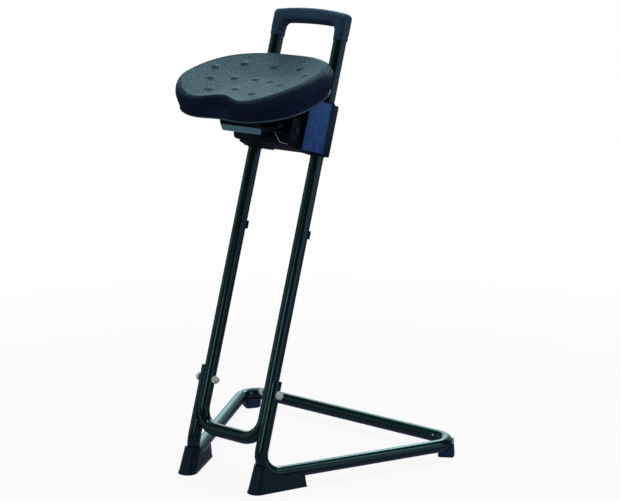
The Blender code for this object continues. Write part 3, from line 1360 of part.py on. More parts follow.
def build():
    clear_scene()
    root = empty("stool", None)
    mast = empty("mast", root, turn_x=-LEAN)
    carriage = empty("carriage", mast, (0, 0, CARRIAGE_AT))
    lever_pivot = empty("lever_pivot", carriage, (0, -LEVER_PIN_AHEAD, LEVER_PIN_UP))
    seat = empty("seat", carriage, (0, -SEAT_AHEAD, SEAT_UP), SEAT_TILT + LEAN)

    bolt_hole = bolt_cutter(mast)
    screw_cuts = stop_holes(mast)
    upright_frame(mast, bolt_hole, screw_cuts)
    base_frame(root, bolt_hole, plug_holes(root))
    frame_bolts(mast)
    tube_room = base_tube_cutter(root)
    upright_room = upright_cutter(mast)
    handle_grip(mast)
    bush_room = carriage_cutters(carriage)
    carriage_body(carriage, bush_room)
    mechanism_housing(carriage)
    for (name, side), hole in zip(SIDES, screw_cuts):
        front_boot(name, side, root, tube_room)
        rear_foot(name, side, root, tube_room)
        vent_plug(name, side, root)
        stop(name, side, mast, hole, upright_room)
        grip_collar(name, side, mast)
        rear_cover(name, side, carriage, bush_room)
        glide_bush(name, side, "lower", carriage)
        glide_bush(name, side, "upper", carriage)
        lock_plate(name, side, carriage)
        lock_spring(name, side, carriage)
    cover_screws(carriage)
    block_screws(carriage)
    release_lever(lever_pivot)
    lever_pin(carriage)
    lever_spring(carriage)
    seat_bracket(seat, carriage)
    bracket_bolts(carriage)
    seat_plate(seat)
    seat_cushion(seat)
    seat_screws(seat)
    centre_over_floor(root)


build()
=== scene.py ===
import json
import math

import bmesh
import bpy
from mathutils import Matrix, Vector

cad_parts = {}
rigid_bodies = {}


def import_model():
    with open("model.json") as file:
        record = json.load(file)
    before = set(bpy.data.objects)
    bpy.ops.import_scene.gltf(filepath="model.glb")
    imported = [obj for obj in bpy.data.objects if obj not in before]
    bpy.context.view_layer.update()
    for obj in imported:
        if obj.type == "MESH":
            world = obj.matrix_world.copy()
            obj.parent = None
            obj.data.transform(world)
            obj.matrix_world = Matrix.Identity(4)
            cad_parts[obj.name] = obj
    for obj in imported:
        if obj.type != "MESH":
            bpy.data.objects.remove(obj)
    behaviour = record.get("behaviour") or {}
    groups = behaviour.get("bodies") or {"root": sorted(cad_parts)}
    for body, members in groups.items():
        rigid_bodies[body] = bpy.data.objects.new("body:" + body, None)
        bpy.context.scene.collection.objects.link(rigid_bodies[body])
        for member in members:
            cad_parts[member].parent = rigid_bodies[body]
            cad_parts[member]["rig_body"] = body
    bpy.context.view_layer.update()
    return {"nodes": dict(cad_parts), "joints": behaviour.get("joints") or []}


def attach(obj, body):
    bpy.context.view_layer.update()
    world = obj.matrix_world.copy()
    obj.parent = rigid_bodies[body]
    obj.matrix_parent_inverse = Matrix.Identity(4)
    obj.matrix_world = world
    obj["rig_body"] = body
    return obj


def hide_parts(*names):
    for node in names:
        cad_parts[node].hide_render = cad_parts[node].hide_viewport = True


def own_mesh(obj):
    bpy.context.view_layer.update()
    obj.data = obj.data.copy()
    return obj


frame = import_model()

NODES = frame["nodes"]

# Lengths are in metres. The mast leans to the rear, and the carriage is measured from the lever's pin
LEAN = math.radians(18.4)
PIN = Vector(next(j["pos_m"] for j in frame["joints"] if j["name"] == "lever_squeeze"))
PIN_FROM_ROOT = 0.148228
ROOT_Y = PIN.y - PIN_FROM_ROOT
MAST_BACK = Vector((0, math.cos(LEAN), -math.sin(LEAN)))
MAST_UP = Vector((0, math.sin(LEAN), math.cos(LEAN)))

# Handle grip: its lower ends stand this far up the mast from the pin
HANDLE_SEAT = 0.1962
HANDLE_SEAT_ROUND = 0.0009

# Paddle of the release lever, from the pin: its top up the mast, its rear to the back, its ends to the side
PADDLE_TOP = -0.0095
PADDLE_REAR = -0.0690
PADDLE_END = 0.0435

# Paddle's band of painted shade under its top, kept near-black for the seat's shadow, the rise of its lip,
# and how squarely a face looks ahead to be seen
PADDLE_PAINTED_SHADE_BAND = 0.0050
PADDLE_LIP = 0.0030
PADDLE_FRONT_FACING = 0.3

# Carriage body: how squarely a face looks sideways or up to get the blue plastic; the faces that look ahead
# keep the near-black plastic, painted shade under the seat
PANEL_SIDE_FACING = 0.6
PANEL_TOP_FACING = 0.8

# Rear feet: the two corners of each that point into the base, seen from above, and their soles
FOOT_CORNERS = (Vector((0.2253, 0.1920)), Vector((0.2433, 0.1632)))
FOOT_CORNER_REACH = 0.0006
FOOT_CORNER_ROUND = 0.008
FOOT_SOLE_ROUND = 0.005

# Plastics and seat skin: how much paler the specks are than the tone under them, and how much paler the
# pebbles' tops are, a painted highlight on the skin's grain, and how much deeper a plastic's broad swell is
# than its grain
SPECK_GAIN = 5
SPECK_LIFT = 0.01
PEBBLE_HIGHLIGHT_GAIN = 2.6
SWELL_DEPTH = 1.5

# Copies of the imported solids: what counts as one point, a flat face, a sharp edge and the same place
POINT_MERGE = 0.00001
FLAT_ANGLE = math.radians(0.5)
BEVEL_ANGLE = math.radians(32)
SMOOTH_ANGLE = math.radians(35)
ROUND_WIRE_ANGLE = math.radians(60)
SAME_PLACE = 0.0005

# Seat cushion, in its own frame: side, rear and up from the middle of its rim
SEAT_TILT = math.radians(13.8)
SEAT_BEHIND_PIN = -0.0633
SEAT_ABOVE_PIN = 0.0347
RIM_OUTLINE = dict(half_width=0.1407, front=0.1013, rear=0.1229, front_power=2.34, rear_power=2.75,
                   hollow=0.0104, hollow_width=0.0464)
TOP_OUTLINE = dict(half_width=0.1509, front=0.1177, rear=0.1411, front_power=1.85, rear_power=2.48,
                   hollow=0.0381, hollow_width=0.0504)
SEAT_EDGE = 0.0445
SEAT_SIDE_RISE = 0.0072
SEAT_REAR_RISE = 0.0019
SEAT_FRONT_DROP = 0.0088
SEAT_MIDDLE = 0.0345
SEAT_MIDDLE_BACK = 0.0279
DISH_POWER_ALONG = 1.25
DISH_POWER_ACROSS = 1.65
SEAT_LIP = 0.003
SEAT_ROUND = 0.019
SEAT_SMOOTH_ANGLE = math.radians(60)

# Cushion's section: shares of the way out and up its wall, then shares of its reach and of the drop that is
# left over its rounded edge, then the steps of its bead, out and up
WALL_SHARES = ((0.16, 0.24), (0.62, 0.64), (1.0, 1.0))
ROUND_SHARES = ((0.996, 0.74), (0.983, 0.46), (0.962, 0.23), (0.933, 0.08), (0.895, 0.0))
BEAD_STEPS = ((-0.0010, 0.0), (0.0004, 0.0003), (0.0008, 0.0010), (0.0005, 0.0018), (-0.0003, 0.0023))

# Nubs of the seat: places as shares of the top's half width and rear
NUB_RADIUS = 0.0088
NUB_RISE = 0.0022
NUB_PAIRS = ((0.437, 0.530), (0.705, 0.267), (0.279, 0.111), (0.539, -0.044), (0.337, -0.342))
NUB_MIDDLES = (0.566, 0.174, -0.248)

# Cushion's mesh: columns round it, rings of its top and the first of them inside the edge, steps between the
# wall's points, and the rings at which the wall's and the lip's finishes end, the less reflective copies of
# the skin that paint shade there
SEAT_SIDES = 360
TOP_RINGS = 72
FIRST_RING = 2
WALL_STEPS = 4
WALL_ENDS = 30
LIP_ENDS = 37

# Camera
CAMERA_PLACE = Vector((2.086466, ROOT_Y - 2.38882, 1.186009))
CAMERA_TURN = (math.radians(76.868), 0, math.radians(38.078))
SENSOR_WIDTH = 36
FOCAL_LENGTH = 104.036

# Floor: its reach and tones, then its glow between two distances from the middle: to the camera, in shiny
# finishes near the stool, and in shiny finishes out to the right
FLOOR_REACH = 40
FLOOR_ROUGHNESS = 0.9
FLOOR_WHITE = 1.0
FLOOR_BOUNCE = 0.22
FLOOR_GLOSS = 0.22
FLOOR_TONE = (0.85, 0.83, 1.4)
SEEN_GLOW = dict(low=0.90, high=1.0, start=0.8, end=1.6)
NEAR_GLOW = dict(low=FLOOR_GLOSS, high=0.06, start=0.45, end=0.90)
RIGHT_GLOW = dict(low=0.0, high=0.6, start=1.2, end=3.0)

# Studio: its fill, its tone in shiny finishes, and the panels that these show, each with its direction, its
# radiance and the closeness to that direction at which it starts and is full
WORLD_FILL = 0.18
WORLD_GLOSS = 0.03
GLOSS_TONE = (0.62, 0.97, 1.0)
PLAIN_TONE = (1.0, 1.0, 1.0)
RIGHT_SIDE = (0.995, 0.1, 0.0)
LEFT_SIDE = (-0.86, -0.46, 0.2)
REAR_SIDE = (-0.35, 0.9, 0.26)
REAR_LEFT = (-0.62, 0.74, 0.26)
WORLD_PANELS = (
    (RIGHT_SIDE, 0.65, 0.78, 0.95), (LEFT_SIDE, 0.45, 0.75, 0.93),
    (REAR_SIDE, 0.55, 0.80, 0.94), (REAR_LEFT, 2.2, 0.90, 0.985),
)

# Places that the lamps point at
AT_STOOL = (0, 0, 0.6)
AT_SEAT = (0, 0, 0.75)
AT_UPRIGHTS = (0, 0, 0.3)
AT_BASE = (0, 0, 0.1)
AT_SIDE_TUBE = (0.1, 0, 0.1)


def from_pin(place):
    """How far to the rear of the lever's pin, and how far up the mast from it, a place is."""
    return (place - PIN).dot(MAST_BACK), (place - PIN).dot(MAST_UP)


# Finishes

def new_node(tree, kind, **settings):
    made = tree.nodes.new(kind)
    for name, value in settings.items():
        setattr(made, name, value)
    return made


def new_material(name, roughness, metallic=0.0, specular=0.5, gloss_tint=(1, 1, 1)):
    material = bpy.data.materials.new(name)
    material.use_nodes = True
    shader = material.node_tree.nodes["Principled BSDF"]
    shader.inputs["Roughness"].default_value = roughness
    shader.inputs["Metallic"].default_value = metallic
    shader.inputs["Specular IOR Level"].default_value = specular
    shader.inputs["Specular Tint"].default_value = (*gloss_tint, 1)
    return material, material.node_tree, shader


def object_place(tree, stretch=(1, 1, 1)):
    coords = new_node(tree, "ShaderNodeTexCoord")
    mapping = new_node(tree, "ShaderNodeMapping")
    mapping.inputs["Scale"].default_value = stretch
    tree.links.new(coords.outputs["Object"], mapping.inputs["Vector"])
    return mapping.outputs["Vector"]


def noise(tree, place, scale, detail=2.0, roughness=0.5, distortion=0.0):
    made = new_node(tree, "ShaderNodeTexNoise")
    made.inputs["Scale"].default_value = scale
    made.inputs["Detail"].default_value = detail
    made.inputs["Roughness"].default_value = roughness
    made.inputs["Distortion"].default_value = distortion
    tree.links.new(place, made.inputs["Vector"])
    return made.outputs["Fac"]


def cells(tree, place, scale, feature, smoothness=None):
    made = new_node(tree, "ShaderNodeTexVoronoi", feature=feature)
    made.inputs["Scale"].default_value = scale
    if smoothness is not None:
        made.inputs["Smoothness"].default_value = smoothness
    tree.links.new(place, made.inputs["Vector"])
    return made.outputs["Distance"]


def ramp(tree, source, low, high, start=0.35, end=0.65):
    made = new_node(tree, "ShaderNodeValToRGB")
    first, last = made.color_ramp.elements
    first.position, last.position = start, end
    first.color, last.color = (*low, 1), (*high, 1)
    tree.links.new(source, made.inputs["Fac"])
    return made.outputs["Color"]


def spread(tree, source, low, high, start=0.3, end=0.7):
    made = new_node(tree, "ShaderNodeMapRange")
    for name, value in (("From Min", start), ("From Max", end), ("To Min", low), ("To Max", high)):
        made.inputs[name].default_value = value
    tree.links.new(source, made.inputs["Value"])
    return made.outputs["Result"]


def overlay(tree, factor, low, high):
    """Mixes two colours, each a socket or a plain tone."""
    made = new_node(tree, "ShaderNodeMix", data_type="RGBA")
    colours = [s for s in made.inputs if s.type == "RGBA"]
    tree.links.new(factor, made.inputs[0])
    for socket, colour in zip(colours, (low, high)):
        if isinstance(colour, tuple):
            socket.default_value = (*colour, 1)
        else:
            tree.links.new(colour, socket)
    return next(s for s in made.outputs if s.type == "RGBA")


def relief(tree, shader, layers):
    """Chains bumps: each layer is a height and its depth in metres."""
    last = None
    for height, depth in layers:
        bump = new_node(tree, "ShaderNodeBump")
        bump.inputs["Strength"].default_value = 1.0
        bump.inputs["Distance"].default_value = depth
        tree.links.new(height, bump.inputs["Height"])
        if last:
            tree.links.new(last, bump.inputs["Normal"])
        last = bump.outputs["Normal"]
    tree.links.new(last, shader.inputs["Normal"])


def enamel(name):
    """Gloss black enamel on tube, with a faint ripple and a little dulling."""
    material, tree, shader = new_material(name, 0.14, specular=0.6, gloss_tint=(0.62, 0.95, 1.0))
    place = object_place(tree)
    patches = noise(tree, place, scale=26, detail=4, roughness=0.6)
    dulling = noise(tree, place, scale=90, detail=3)
    fine_ripple = noise(tree, place, scale=310)
    slow_ripple = noise(tree, place, scale=40)
    tree.links.new(ramp(tree, patches, (0.0014, 0.0085, 0.0065), (0.0040, 0.0160, 0.0130)),
                   shader.inputs["Base Color"])
    tree.links.new(spread(tree, dulling, 0.15, 0.19), shader.inputs["Roughness"])
    relief(tree, shader, ((fine_ripple, 0.000002), (slow_ripple, 0.000015)))
    return material


def grained_plastic(name, low, high, roughness, grain, depth, speckle, specular=0.5):
    """Moulded plastic with a fine spark-eroded grain, paler in spots by the speckle."""
    material, tree, shader = new_material(name, roughness, specular=specular, gloss_tint=(0.6, 0.85, 1.0))
    place = object_place(tree)
    fine = noise(tree, place, scale=grain, detail=3, roughness=0.6)
    broad = noise(tree, place, scale=18, detail=4, roughness=0.6)
    base = ramp(tree, broad, low, high, start=0.3, end=0.7)
    light = tuple(min(1.0, c * (1 + SPECK_GAIN * speckle) + SPECK_LIFT * speckle) for c in high)
    tree.links.new(overlay(tree, spread(tree, fine, 0.0, speckle, start=0.52, end=0.72), base, light),
                   shader.inputs["Base Color"])
    tree.links.new(spread(tree, fine, roughness + 0.10, roughness - 0.08), shader.inputs["Roughness"])
    relief(tree, shader, ((fine, depth), (broad, depth * SWELL_DEPTH)))
    return material


def seat_skin(name, low, high, specular):
    """Formed foam skin with a leather grain: small rounded pebbles with creases between them, the pebbles'
    tops painted paler as a highlight.
    """
    material, tree, shader = new_material(name, 0.42, specular=specular, gloss_tint=(0.47, 0.93, 1.0))
    place = object_place(tree)
    pebbles = cells(tree, place, 380, "SMOOTH_F1", smoothness=0.3)
    creases = cells(tree, place, 250, "DISTANCE_TO_EDGE")
    fine = noise(tree, place, scale=900)
    broad = noise(tree, place, scale=14, detail=4, roughness=0.6)
    base = ramp(tree, broad, low, high, start=0.3, end=0.7)
    # Paler pebble tops: painted highlight of light catching the grain
    pebble_highlight = tuple(c * PEBBLE_HIGHLIGHT_GAIN for c in high)
    tree.links.new(overlay(tree, spread(tree, pebbles, 0.6, 0.0, start=0.15, end=0.55), base, pebble_highlight),
                   shader.inputs["Base Color"])
    tree.links.new(spread(tree, pebbles, 0.32, 0.56, start=0.1, end=0.6), shader.inputs["Roughness"])
    turned_over = spread(tree, pebbles, 1.0, 0.0, start=0.0, end=0.7)
    cut_in = spread(tree, creases, 0.0, 1.0, start=0.0, end=0.12)
    relief(tree, shader, ((turned_over, 0.00078), (cut_in, 0.00015), (fine, 0.00005)))
    return material


def plated(name, low, high, roughness, grain=160, metallic=0.45):
    """Plated steel with faint marks and dull spots."""
    material, tree, shader = new_material(name, roughness, metallic=metallic)
    place = object_place(tree)
    marks = noise(tree, place, scale=grain, detail=4, roughness=0.65)
    spots = noise(tree, place, scale=grain * 3)
    tree.links.new(ramp(tree, marks, low, high, start=0.3, end=0.7), shader.inputs["Base Color"])
    tree.links.new(spread(tree, spots, roughness - 0.06, roughness + 0.14), shader.inputs["Roughness"])
    relief(tree, shader, ((marks, 0.00002),))
    return material


def plywood(name):
    """Rotary-cut face veneer: long figure with fine pores."""
    material, tree, shader = new_material(name, 0.6, specular=0.3)
    along, finer_along = object_place(tree, (1.0, 9.0, 9.0)), object_place(tree, (1.0, 18.0, 18.0))
    figure = noise(tree, along, scale=7, detail=6, roughness=0.6, distortion=1.5)
    pores = noise(tree, finer_along, scale=60, detail=3, roughness=0.7)
    grain = ramp(tree, figure, (0.30, 0.17, 0.075), (0.52, 0.34, 0.18))
    dark = spread(tree, pores, 0.0, 0.7, start=0.55, end=0.72)
    tree.links.new(overlay(tree, dark, grain, (0.20, 0.11, 0.05)), shader.inputs["Base Color"])
    tree.links.new(spread(tree, figure, 0.5, 0.7), shader.inputs["Roughness"])
    relief(tree, shader, ((pores, 0.00008), (figure, 0.00006)))
    return material


ENAMEL = enamel("black_enamel")
HANDLE_PLASTIC = grained_plastic("handle_plastic", (0.013, 0.036, 0.074), (0.018, 0.048, 0.096),
                                 roughness=0.38, grain=620, depth=0.00006, speckle=0.12)
PANEL_PLASTIC = grained_plastic("panel_plastic", (0.007, 0.043, 0.215), (0.011, 0.059, 0.275),
                                roughness=0.44, grain=560, depth=0.00014, speckle=0.90)
DARK_PLASTIC = grained_plastic("dark_plastic", (0.0020, 0.0035, 0.0050), (0.0035, 0.0055, 0.0075),
                               roughness=0.46, grain=520, depth=0.00008, speckle=0.12, specular=0.18)
COVER_PLASTIC = grained_plastic("cover_plastic", (0.002, 0.007, 0.019), (0.004, 0.010, 0.025),
                                roughness=0.42, grain=460, depth=0.00012, speckle=0.20, specular=0.35)
BOOT_RUBBER = grained_plastic("boot_rubber", (0.0012, 0.0045, 0.0100), (0.0024, 0.0065, 0.0140),
                              roughness=0.48, grain=480, depth=0.00014, speckle=0.22)
FOOT_RUBBER = grained_plastic("foot_rubber", (0.008, 0.033, 0.078), (0.012, 0.045, 0.100),
                              roughness=0.48, grain=480, depth=0.00014, speckle=0.22)
LEVER_PLASTIC = grained_plastic("lever_plastic", (0.150, 0.320, 0.400), (0.180, 0.380, 0.470),
                                roughness=0.42, grain=640, depth=0.00005, speckle=0.08)
PLUG_PLASTIC = grained_plastic("plug_plastic", (0.50, 0.53, 0.52), (0.60, 0.63, 0.62),
                               roughness=0.40, grain=700, depth=0.00003, speckle=0.05)
SHEET_BLACK = grained_plastic("sheet_black", (0.0030, 0.0045, 0.0055), (0.0050, 0.0065, 0.0080),
                              roughness=0.44, grain=260, depth=0.00003, speckle=0.10, specular=0.2)
SKIN_TONES = (0.0032, 0.0060, 0.0240), (0.0048, 0.0085, 0.0320)
# One skin in three copies: the lip and the wall reflect less than the top, painted shade on the cushion's
# sides
TOP_SKIN = seat_skin("seat_top_skin", *SKIN_TONES, specular=0.60)
SHADED_LIP_SKIN = seat_skin("seat_lip_skin_painted_shade", *SKIN_TONES, specular=0.38)
SHADED_WALL_SKIN = seat_skin("seat_wall_skin_painted_shade", *SKIN_TONES, specular=0.20)
# The bead under the cushion's rim is much paler than the skin: a painted highlight along the seat's bottom
# edge
SKIN_EDGE_PAINTED_HIGHLIGHT = grained_plastic("seat_edge_painted_highlight", (0.06, 0.10, 0.14), (0.09, 0.14, 0.19),
                            roughness=0.35, grain=700, depth=0.00003, speckle=0.05)
SEAT_SKINS = (SKIN_EDGE_PAINTED_HIGHLIGHT, SHADED_WALL_SKIN, SHADED_LIP_SKIN, TOP_SKIN)
DARK_STEEL = plated("dark_steel", (0.020, 0.022, 0.024), (0.045, 0.048, 0.050), roughness=0.35)
ZINC = plated("zinc_plate", (0.74, 0.97, 0.90), (1.0, 1.0, 1.0), roughness=0.18, metallic=0.0)
SPRING_WIRE = plated("spring_wire", (0.60, 0.72, 0.74), (0.82, 0.94, 0.95), roughness=0.26, grain=300,
                     metallic=0.3)
PLYWOOD = plywood("plywood")


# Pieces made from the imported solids

def deselect_all():
    for obj in list(bpy.context.selected_objects):
        obj.select_set(False)


def make_active(obj):
    deselect_all()
    obj.select_set(True)
    bpy.context.view_layer.objects.active = obj


def dress(obj, material):
    obj.data.materials.clear()
    obj.data.materials.append(material)


def refined(node, material, bevel=0.0, segments=2, smooth_angle=SMOOTH_ANGLE):
    """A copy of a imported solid, joined, softened and smoothly shaded, which stands for it."""
    cad = NODES[node]
    piece = bpy.data.objects.new(node + "_look", cad.data.copy())
    bpy.context.scene.collection.objects.link(piece)
    make_active(piece)
    bpy.ops.object.mode_set(mode="EDIT")
    bpy.ops.mesh.select_all(action="SELECT")
    bpy.ops.mesh.remove_doubles(threshold=POINT_MERGE)
    bpy.ops.mesh.customdata_custom_splitnormals_clear()
    bpy.ops.mesh.dissolve_limited(angle_limit=FLAT_ANGLE)
    bpy.ops.object.mode_set(mode="OBJECT")
    if bevel:
        step = piece.modifiers.new("soft_edges", "BEVEL")
        step.width = bevel
        step.segments = segments
        step.limit_method = "ANGLE"
        step.angle_limit = BEVEL_ANGLE
        bpy.ops.object.modifier_apply(modifier=step.name)
    bpy.ops.object.shade_smooth_by_angle(angle=smooth_angle)
    dress(piece, material)
    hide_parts(node)
    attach(piece, cad["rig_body"])
    return piece


def paint_faces(piece, material, chosen):
    """Gives a second finish to the chosen faces."""
    piece.data.materials.append(material)
    for face in piece.data.polygons:
        if chosen(face):
            face.material_index = 1


def split_across(piece, place, normal):
    """Cuts the faces along a plane, so that a finish can end there."""
    make_active(piece)
    bpy.ops.object.mode_set(mode="EDIT")
    bpy.ops.mesh.select_all(action="SELECT")
    bpy.ops.mesh.bisect(plane_co=place, plane_no=normal)
    bpy.ops.object.mode_set(mode="OBJECT")


def raise_lip(piece):
    """Lifts the paddle's top edge up to the seat, so that its near-black band, painted shade, fills the
    seat's shadow there.
    """
    make_active(piece)
    bpy.ops.object.mode_set(mode="EDIT")
    bpy.ops.mesh.select_mode(type="VERT")
    bpy.ops.mesh.select_all(action="DESELECT")
    bm = bmesh.from_edit_mesh(piece.data)
    for vert in bm.verts:
        back, up = from_pin(vert.co)
        vert.select_set(back < PADDLE_REAR and abs(up - PADDLE_TOP) < SAME_PLACE)
    bmesh.update_edit_mesh(piece.data)
    bpy.ops.transform.translate(value=MAST_UP * PADDLE_LIP)
    bpy.ops.object.mode_set(mode="OBJECT")


def soften(piece, chosen, width, segments=2):
    """Rounds the edges whose middle and first end are both at a chosen place."""
    make_active(piece)
    bpy.ops.object.mode_set(mode="EDIT")
    bpy.ops.mesh.select_mode(type="EDGE")
    bpy.ops.mesh.select_all(action="DESELECT")
    bm = bmesh.from_edit_mesh(piece.data)
    for edge in bm.edges:
        middle = (edge.verts[0].co + edge.verts[1].co) / 2
        edge.select_set(chosen(middle) and chosen(edge.verts[0].co))
    bmesh.update_edit_mesh(piece.data)
    bpy.ops.mesh.bevel(offset=width, segments=segments)
    bpy.ops.object.mode_set(mode="OBJECT")
    bpy.ops.object.shade_smooth_by_angle(angle=SMOOTH_ANGLE)


def outside_painted_shade(face):
    return abs(face.normal.x) > PANEL_SIDE_FACING or face.normal.z > PANEL_TOP_FACING


def on_paddle_face(face):
    back, up = from_pin(face.center)
    seen = face.normal.y < -PADDLE_FRONT_FACING or abs(face.center.x) > PADDLE_END
    return seen and back < PADDLE_REAR and up < PADDLE_TOP - PADDLE_PAINTED_SHADE_BAND


def at_handle_seat(place):
    return abs(from_pin(place)[1] - HANDLE_SEAT) < SAME_PLACE


def at_foot_corner(place):
    from_middle = Vector((abs(place.x), place.y))
    return any((from_middle - corner).length < FOOT_CORNER_REACH for corner in FOOT_CORNERS)


def at_foot_sole(place):
    return place.z < SAME_PLACE


# Seat cushion

def outline_point(angle, outline):
    """A point of a rounded outline with a hollow in the middle of its front."""
    c, s = math.cos(angle), math.sin(angle)
    end = "rear" if s > 0 else "front"
    along, power = outline[end], outline[f"{end}_power"]
    reach = ((abs(c) / outline["half_width"]) ** power + (abs(s) / along) ** power) ** (-1 / power)
    u, v = reach * c, reach * s
    if s < 0:
        v += outline["hollow"] * math.exp(-(u / outline["hollow_width"]) ** 2) * abs(s)
    return Vector((u, v))


def mix(start, end, share):
    return start + (end - start) * share


def edge_height(place):
    """Height of the top's edge, which rises to the sides and the rear and drops to the front."""
    end, rise = ("rear", SEAT_REAR_RISE) if place.y > 0 else ("front", -SEAT_FRONT_DROP)
    across, along = place.x / TOP_OUTLINE["half_width"], place.y / TOP_OUTLINE[end]
    return SEAT_EDGE + SEAT_SIDE_RISE * across ** 2 + rise * along ** 2


def nub_places():
    half_width, rear = TOP_OUTLINE["half_width"], TOP_OUTLINE["rear"]
    places = [(0.0, share * rear) for share in NUB_MIDDLES]
    for across, along in NUB_PAIRS:
        places += [(side * across * half_width, along * rear) for side in (-1, 1)]
    return [Vector(place) for place in places]


def nub_height(place, nubs):
    for nub in nubs:
        reach = (place - nub).length / NUB_RADIUS
        if reach < 1:
            return NUB_RISE * (1 - reach ** 2)
    return 0.0


def smooth_through(points, steps):
    """Points of a smooth line through the given ones."""
    ends = [points[0]] + points + [points[-1]]
    line = []
    for a, b, c, d in zip(ends, ends[1:], ends[2:], ends[3:]):
        for k in range(steps):
            t = k / steps
            line.append(0.5 * ((2 * b) + (c - a) * t + (2 * a - 5 * b + 4 * c - d) * t ** 2
                               + (3 * b - a - 3 * c + d) * t ** 3))
    return line


def seat_column(angle, nubs):
    """One line of the cushion, from under its rim over the edge to near the middle of the top."""
    rim, widest = outline_point(angle, RIM_OUTLINE), outline_point(angle, TOP_OUTLINE)
    outward = rim.normalized()
    edge = edge_height(widest)
    bead = [Vector((*(rim + outward * out), rise)) for out, rise in BEAD_STEPS]
    wall = [Vector((*rim, SEAT_LIP))]
    for way, rise in WALL_SHARES:
        wall.append(Vector((*rim.lerp(widest, way), mix(SEAT_LIP, edge - SEAT_ROUND, rise))))
    for reach, drop in ROUND_SHARES:
        wall.append(Vector((*(widest * reach), edge - SEAT_ROUND * drop)))
    middle = Vector((0, SEAT_MIDDLE_BACK))
    brink = widest * ROUND_SHARES[-1][0]
    across = (brink - middle).normalized().x ** 2
    power = mix(DISH_POWER_ALONG, DISH_POWER_ACROSS, across)

    def top(ring):
        share = 1 - ring / TOP_RINGS
        place = middle.lerp(brink, share)
        height = mix(SEAT_MIDDLE, edge_height(widest), share ** power)
        return Vector((*place, height + nub_height(place, nubs)))

    wall_line = smooth_through(wall + [top(FIRST_RING)], WALL_STEPS)
    return bead + wall_line + [top(ring) for ring in range(FIRST_RING, TOP_RINGS)]


def skin_at(level):
    """The slot of the finish above a ring of the cushion: bead with its painted highlight, wall and lip with
    their painted shade, or top.
    """
    return sum(level >= end for end in (len(BEAD_STEPS), WALL_ENDS, LIP_ENDS))


def make_cushion():
    nubs = nub_places()
    columns = [seat_column(2 * math.pi * k / SEAT_SIDES, nubs) for k in range(SEAT_SIDES)]
    bm = bmesh.new()
    rows = [[bm.verts.new(point) for point in ring] for ring in zip(*columns)]
    for level, (low, high) in enumerate(zip(rows, rows[1:])):
        for k in range(SEAT_SIDES):
            after = (k + 1) % SEAT_SIDES
            face = bm.faces.new((low[k], low[after], high[after], high[k]))
            face.material_index = skin_at(level)
    middle_height = SEAT_MIDDLE + nub_height(Vector((0, SEAT_MIDDLE_BACK)), nubs)
    middle = bm.verts.new((0, SEAT_MIDDLE_BACK, middle_height))
    for k in range(SEAT_SIDES):
        face = bm.faces.new((rows[-1][k], rows[-1][(k + 1) % SEAT_SIDES], middle))
        face.material_index = SEAT_SKINS.index(TOP_SKIN)
    bm.faces.new(list(reversed(rows[0])))
    bmesh.ops.recalc_face_normals(bm, faces=bm.faces)
    seat_place = PIN + MAST_BACK * SEAT_BEHIND_PIN + MAST_UP * SEAT_ABOVE_PIN
    bm.transform(Matrix.Translation(seat_place) @ Matrix.Rotation(SEAT_TILT, 4, "X"))
    mesh = bpy.data.meshes.new("seat_cushion_look")
    bm.to_mesh(mesh)
    bm.free()
    cushion = bpy.data.objects.new("seat_cushion_look", mesh)
    bpy.context.scene.collection.objects.link(cushion)
    make_active(cushion)
    bpy.ops.object.shade_smooth_by_angle(angle=SEAT_SMOOTH_ANGLE)
    for skin in SEAT_SKINS:
        mesh.materials.append(skin)
    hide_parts("seat_cushion")
    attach(cushion, "carriage")


make_cushion()

for node in ("upright_frame", "base_frame"):
    refined(node, ENAMEL)
grip = refined("handle_grip", HANDLE_PLASTIC)
soften(grip, at_handle_seat, HANDLE_SEAT_ROUND)
body = refined("carriage_body", DARK_PLASTIC, bevel=0.0010)
# Faces that look sideways or up get the blue plastic; those that look ahead keep the near-black plastic as
# painted shade from the seat above
paint_faces(body, PANEL_PLASTIC, outside_painted_shade)
refined("mechanism_housing", DARK_PLASTIC, bevel=0.0008)
lever = refined("release_lever", DARK_PLASTIC)
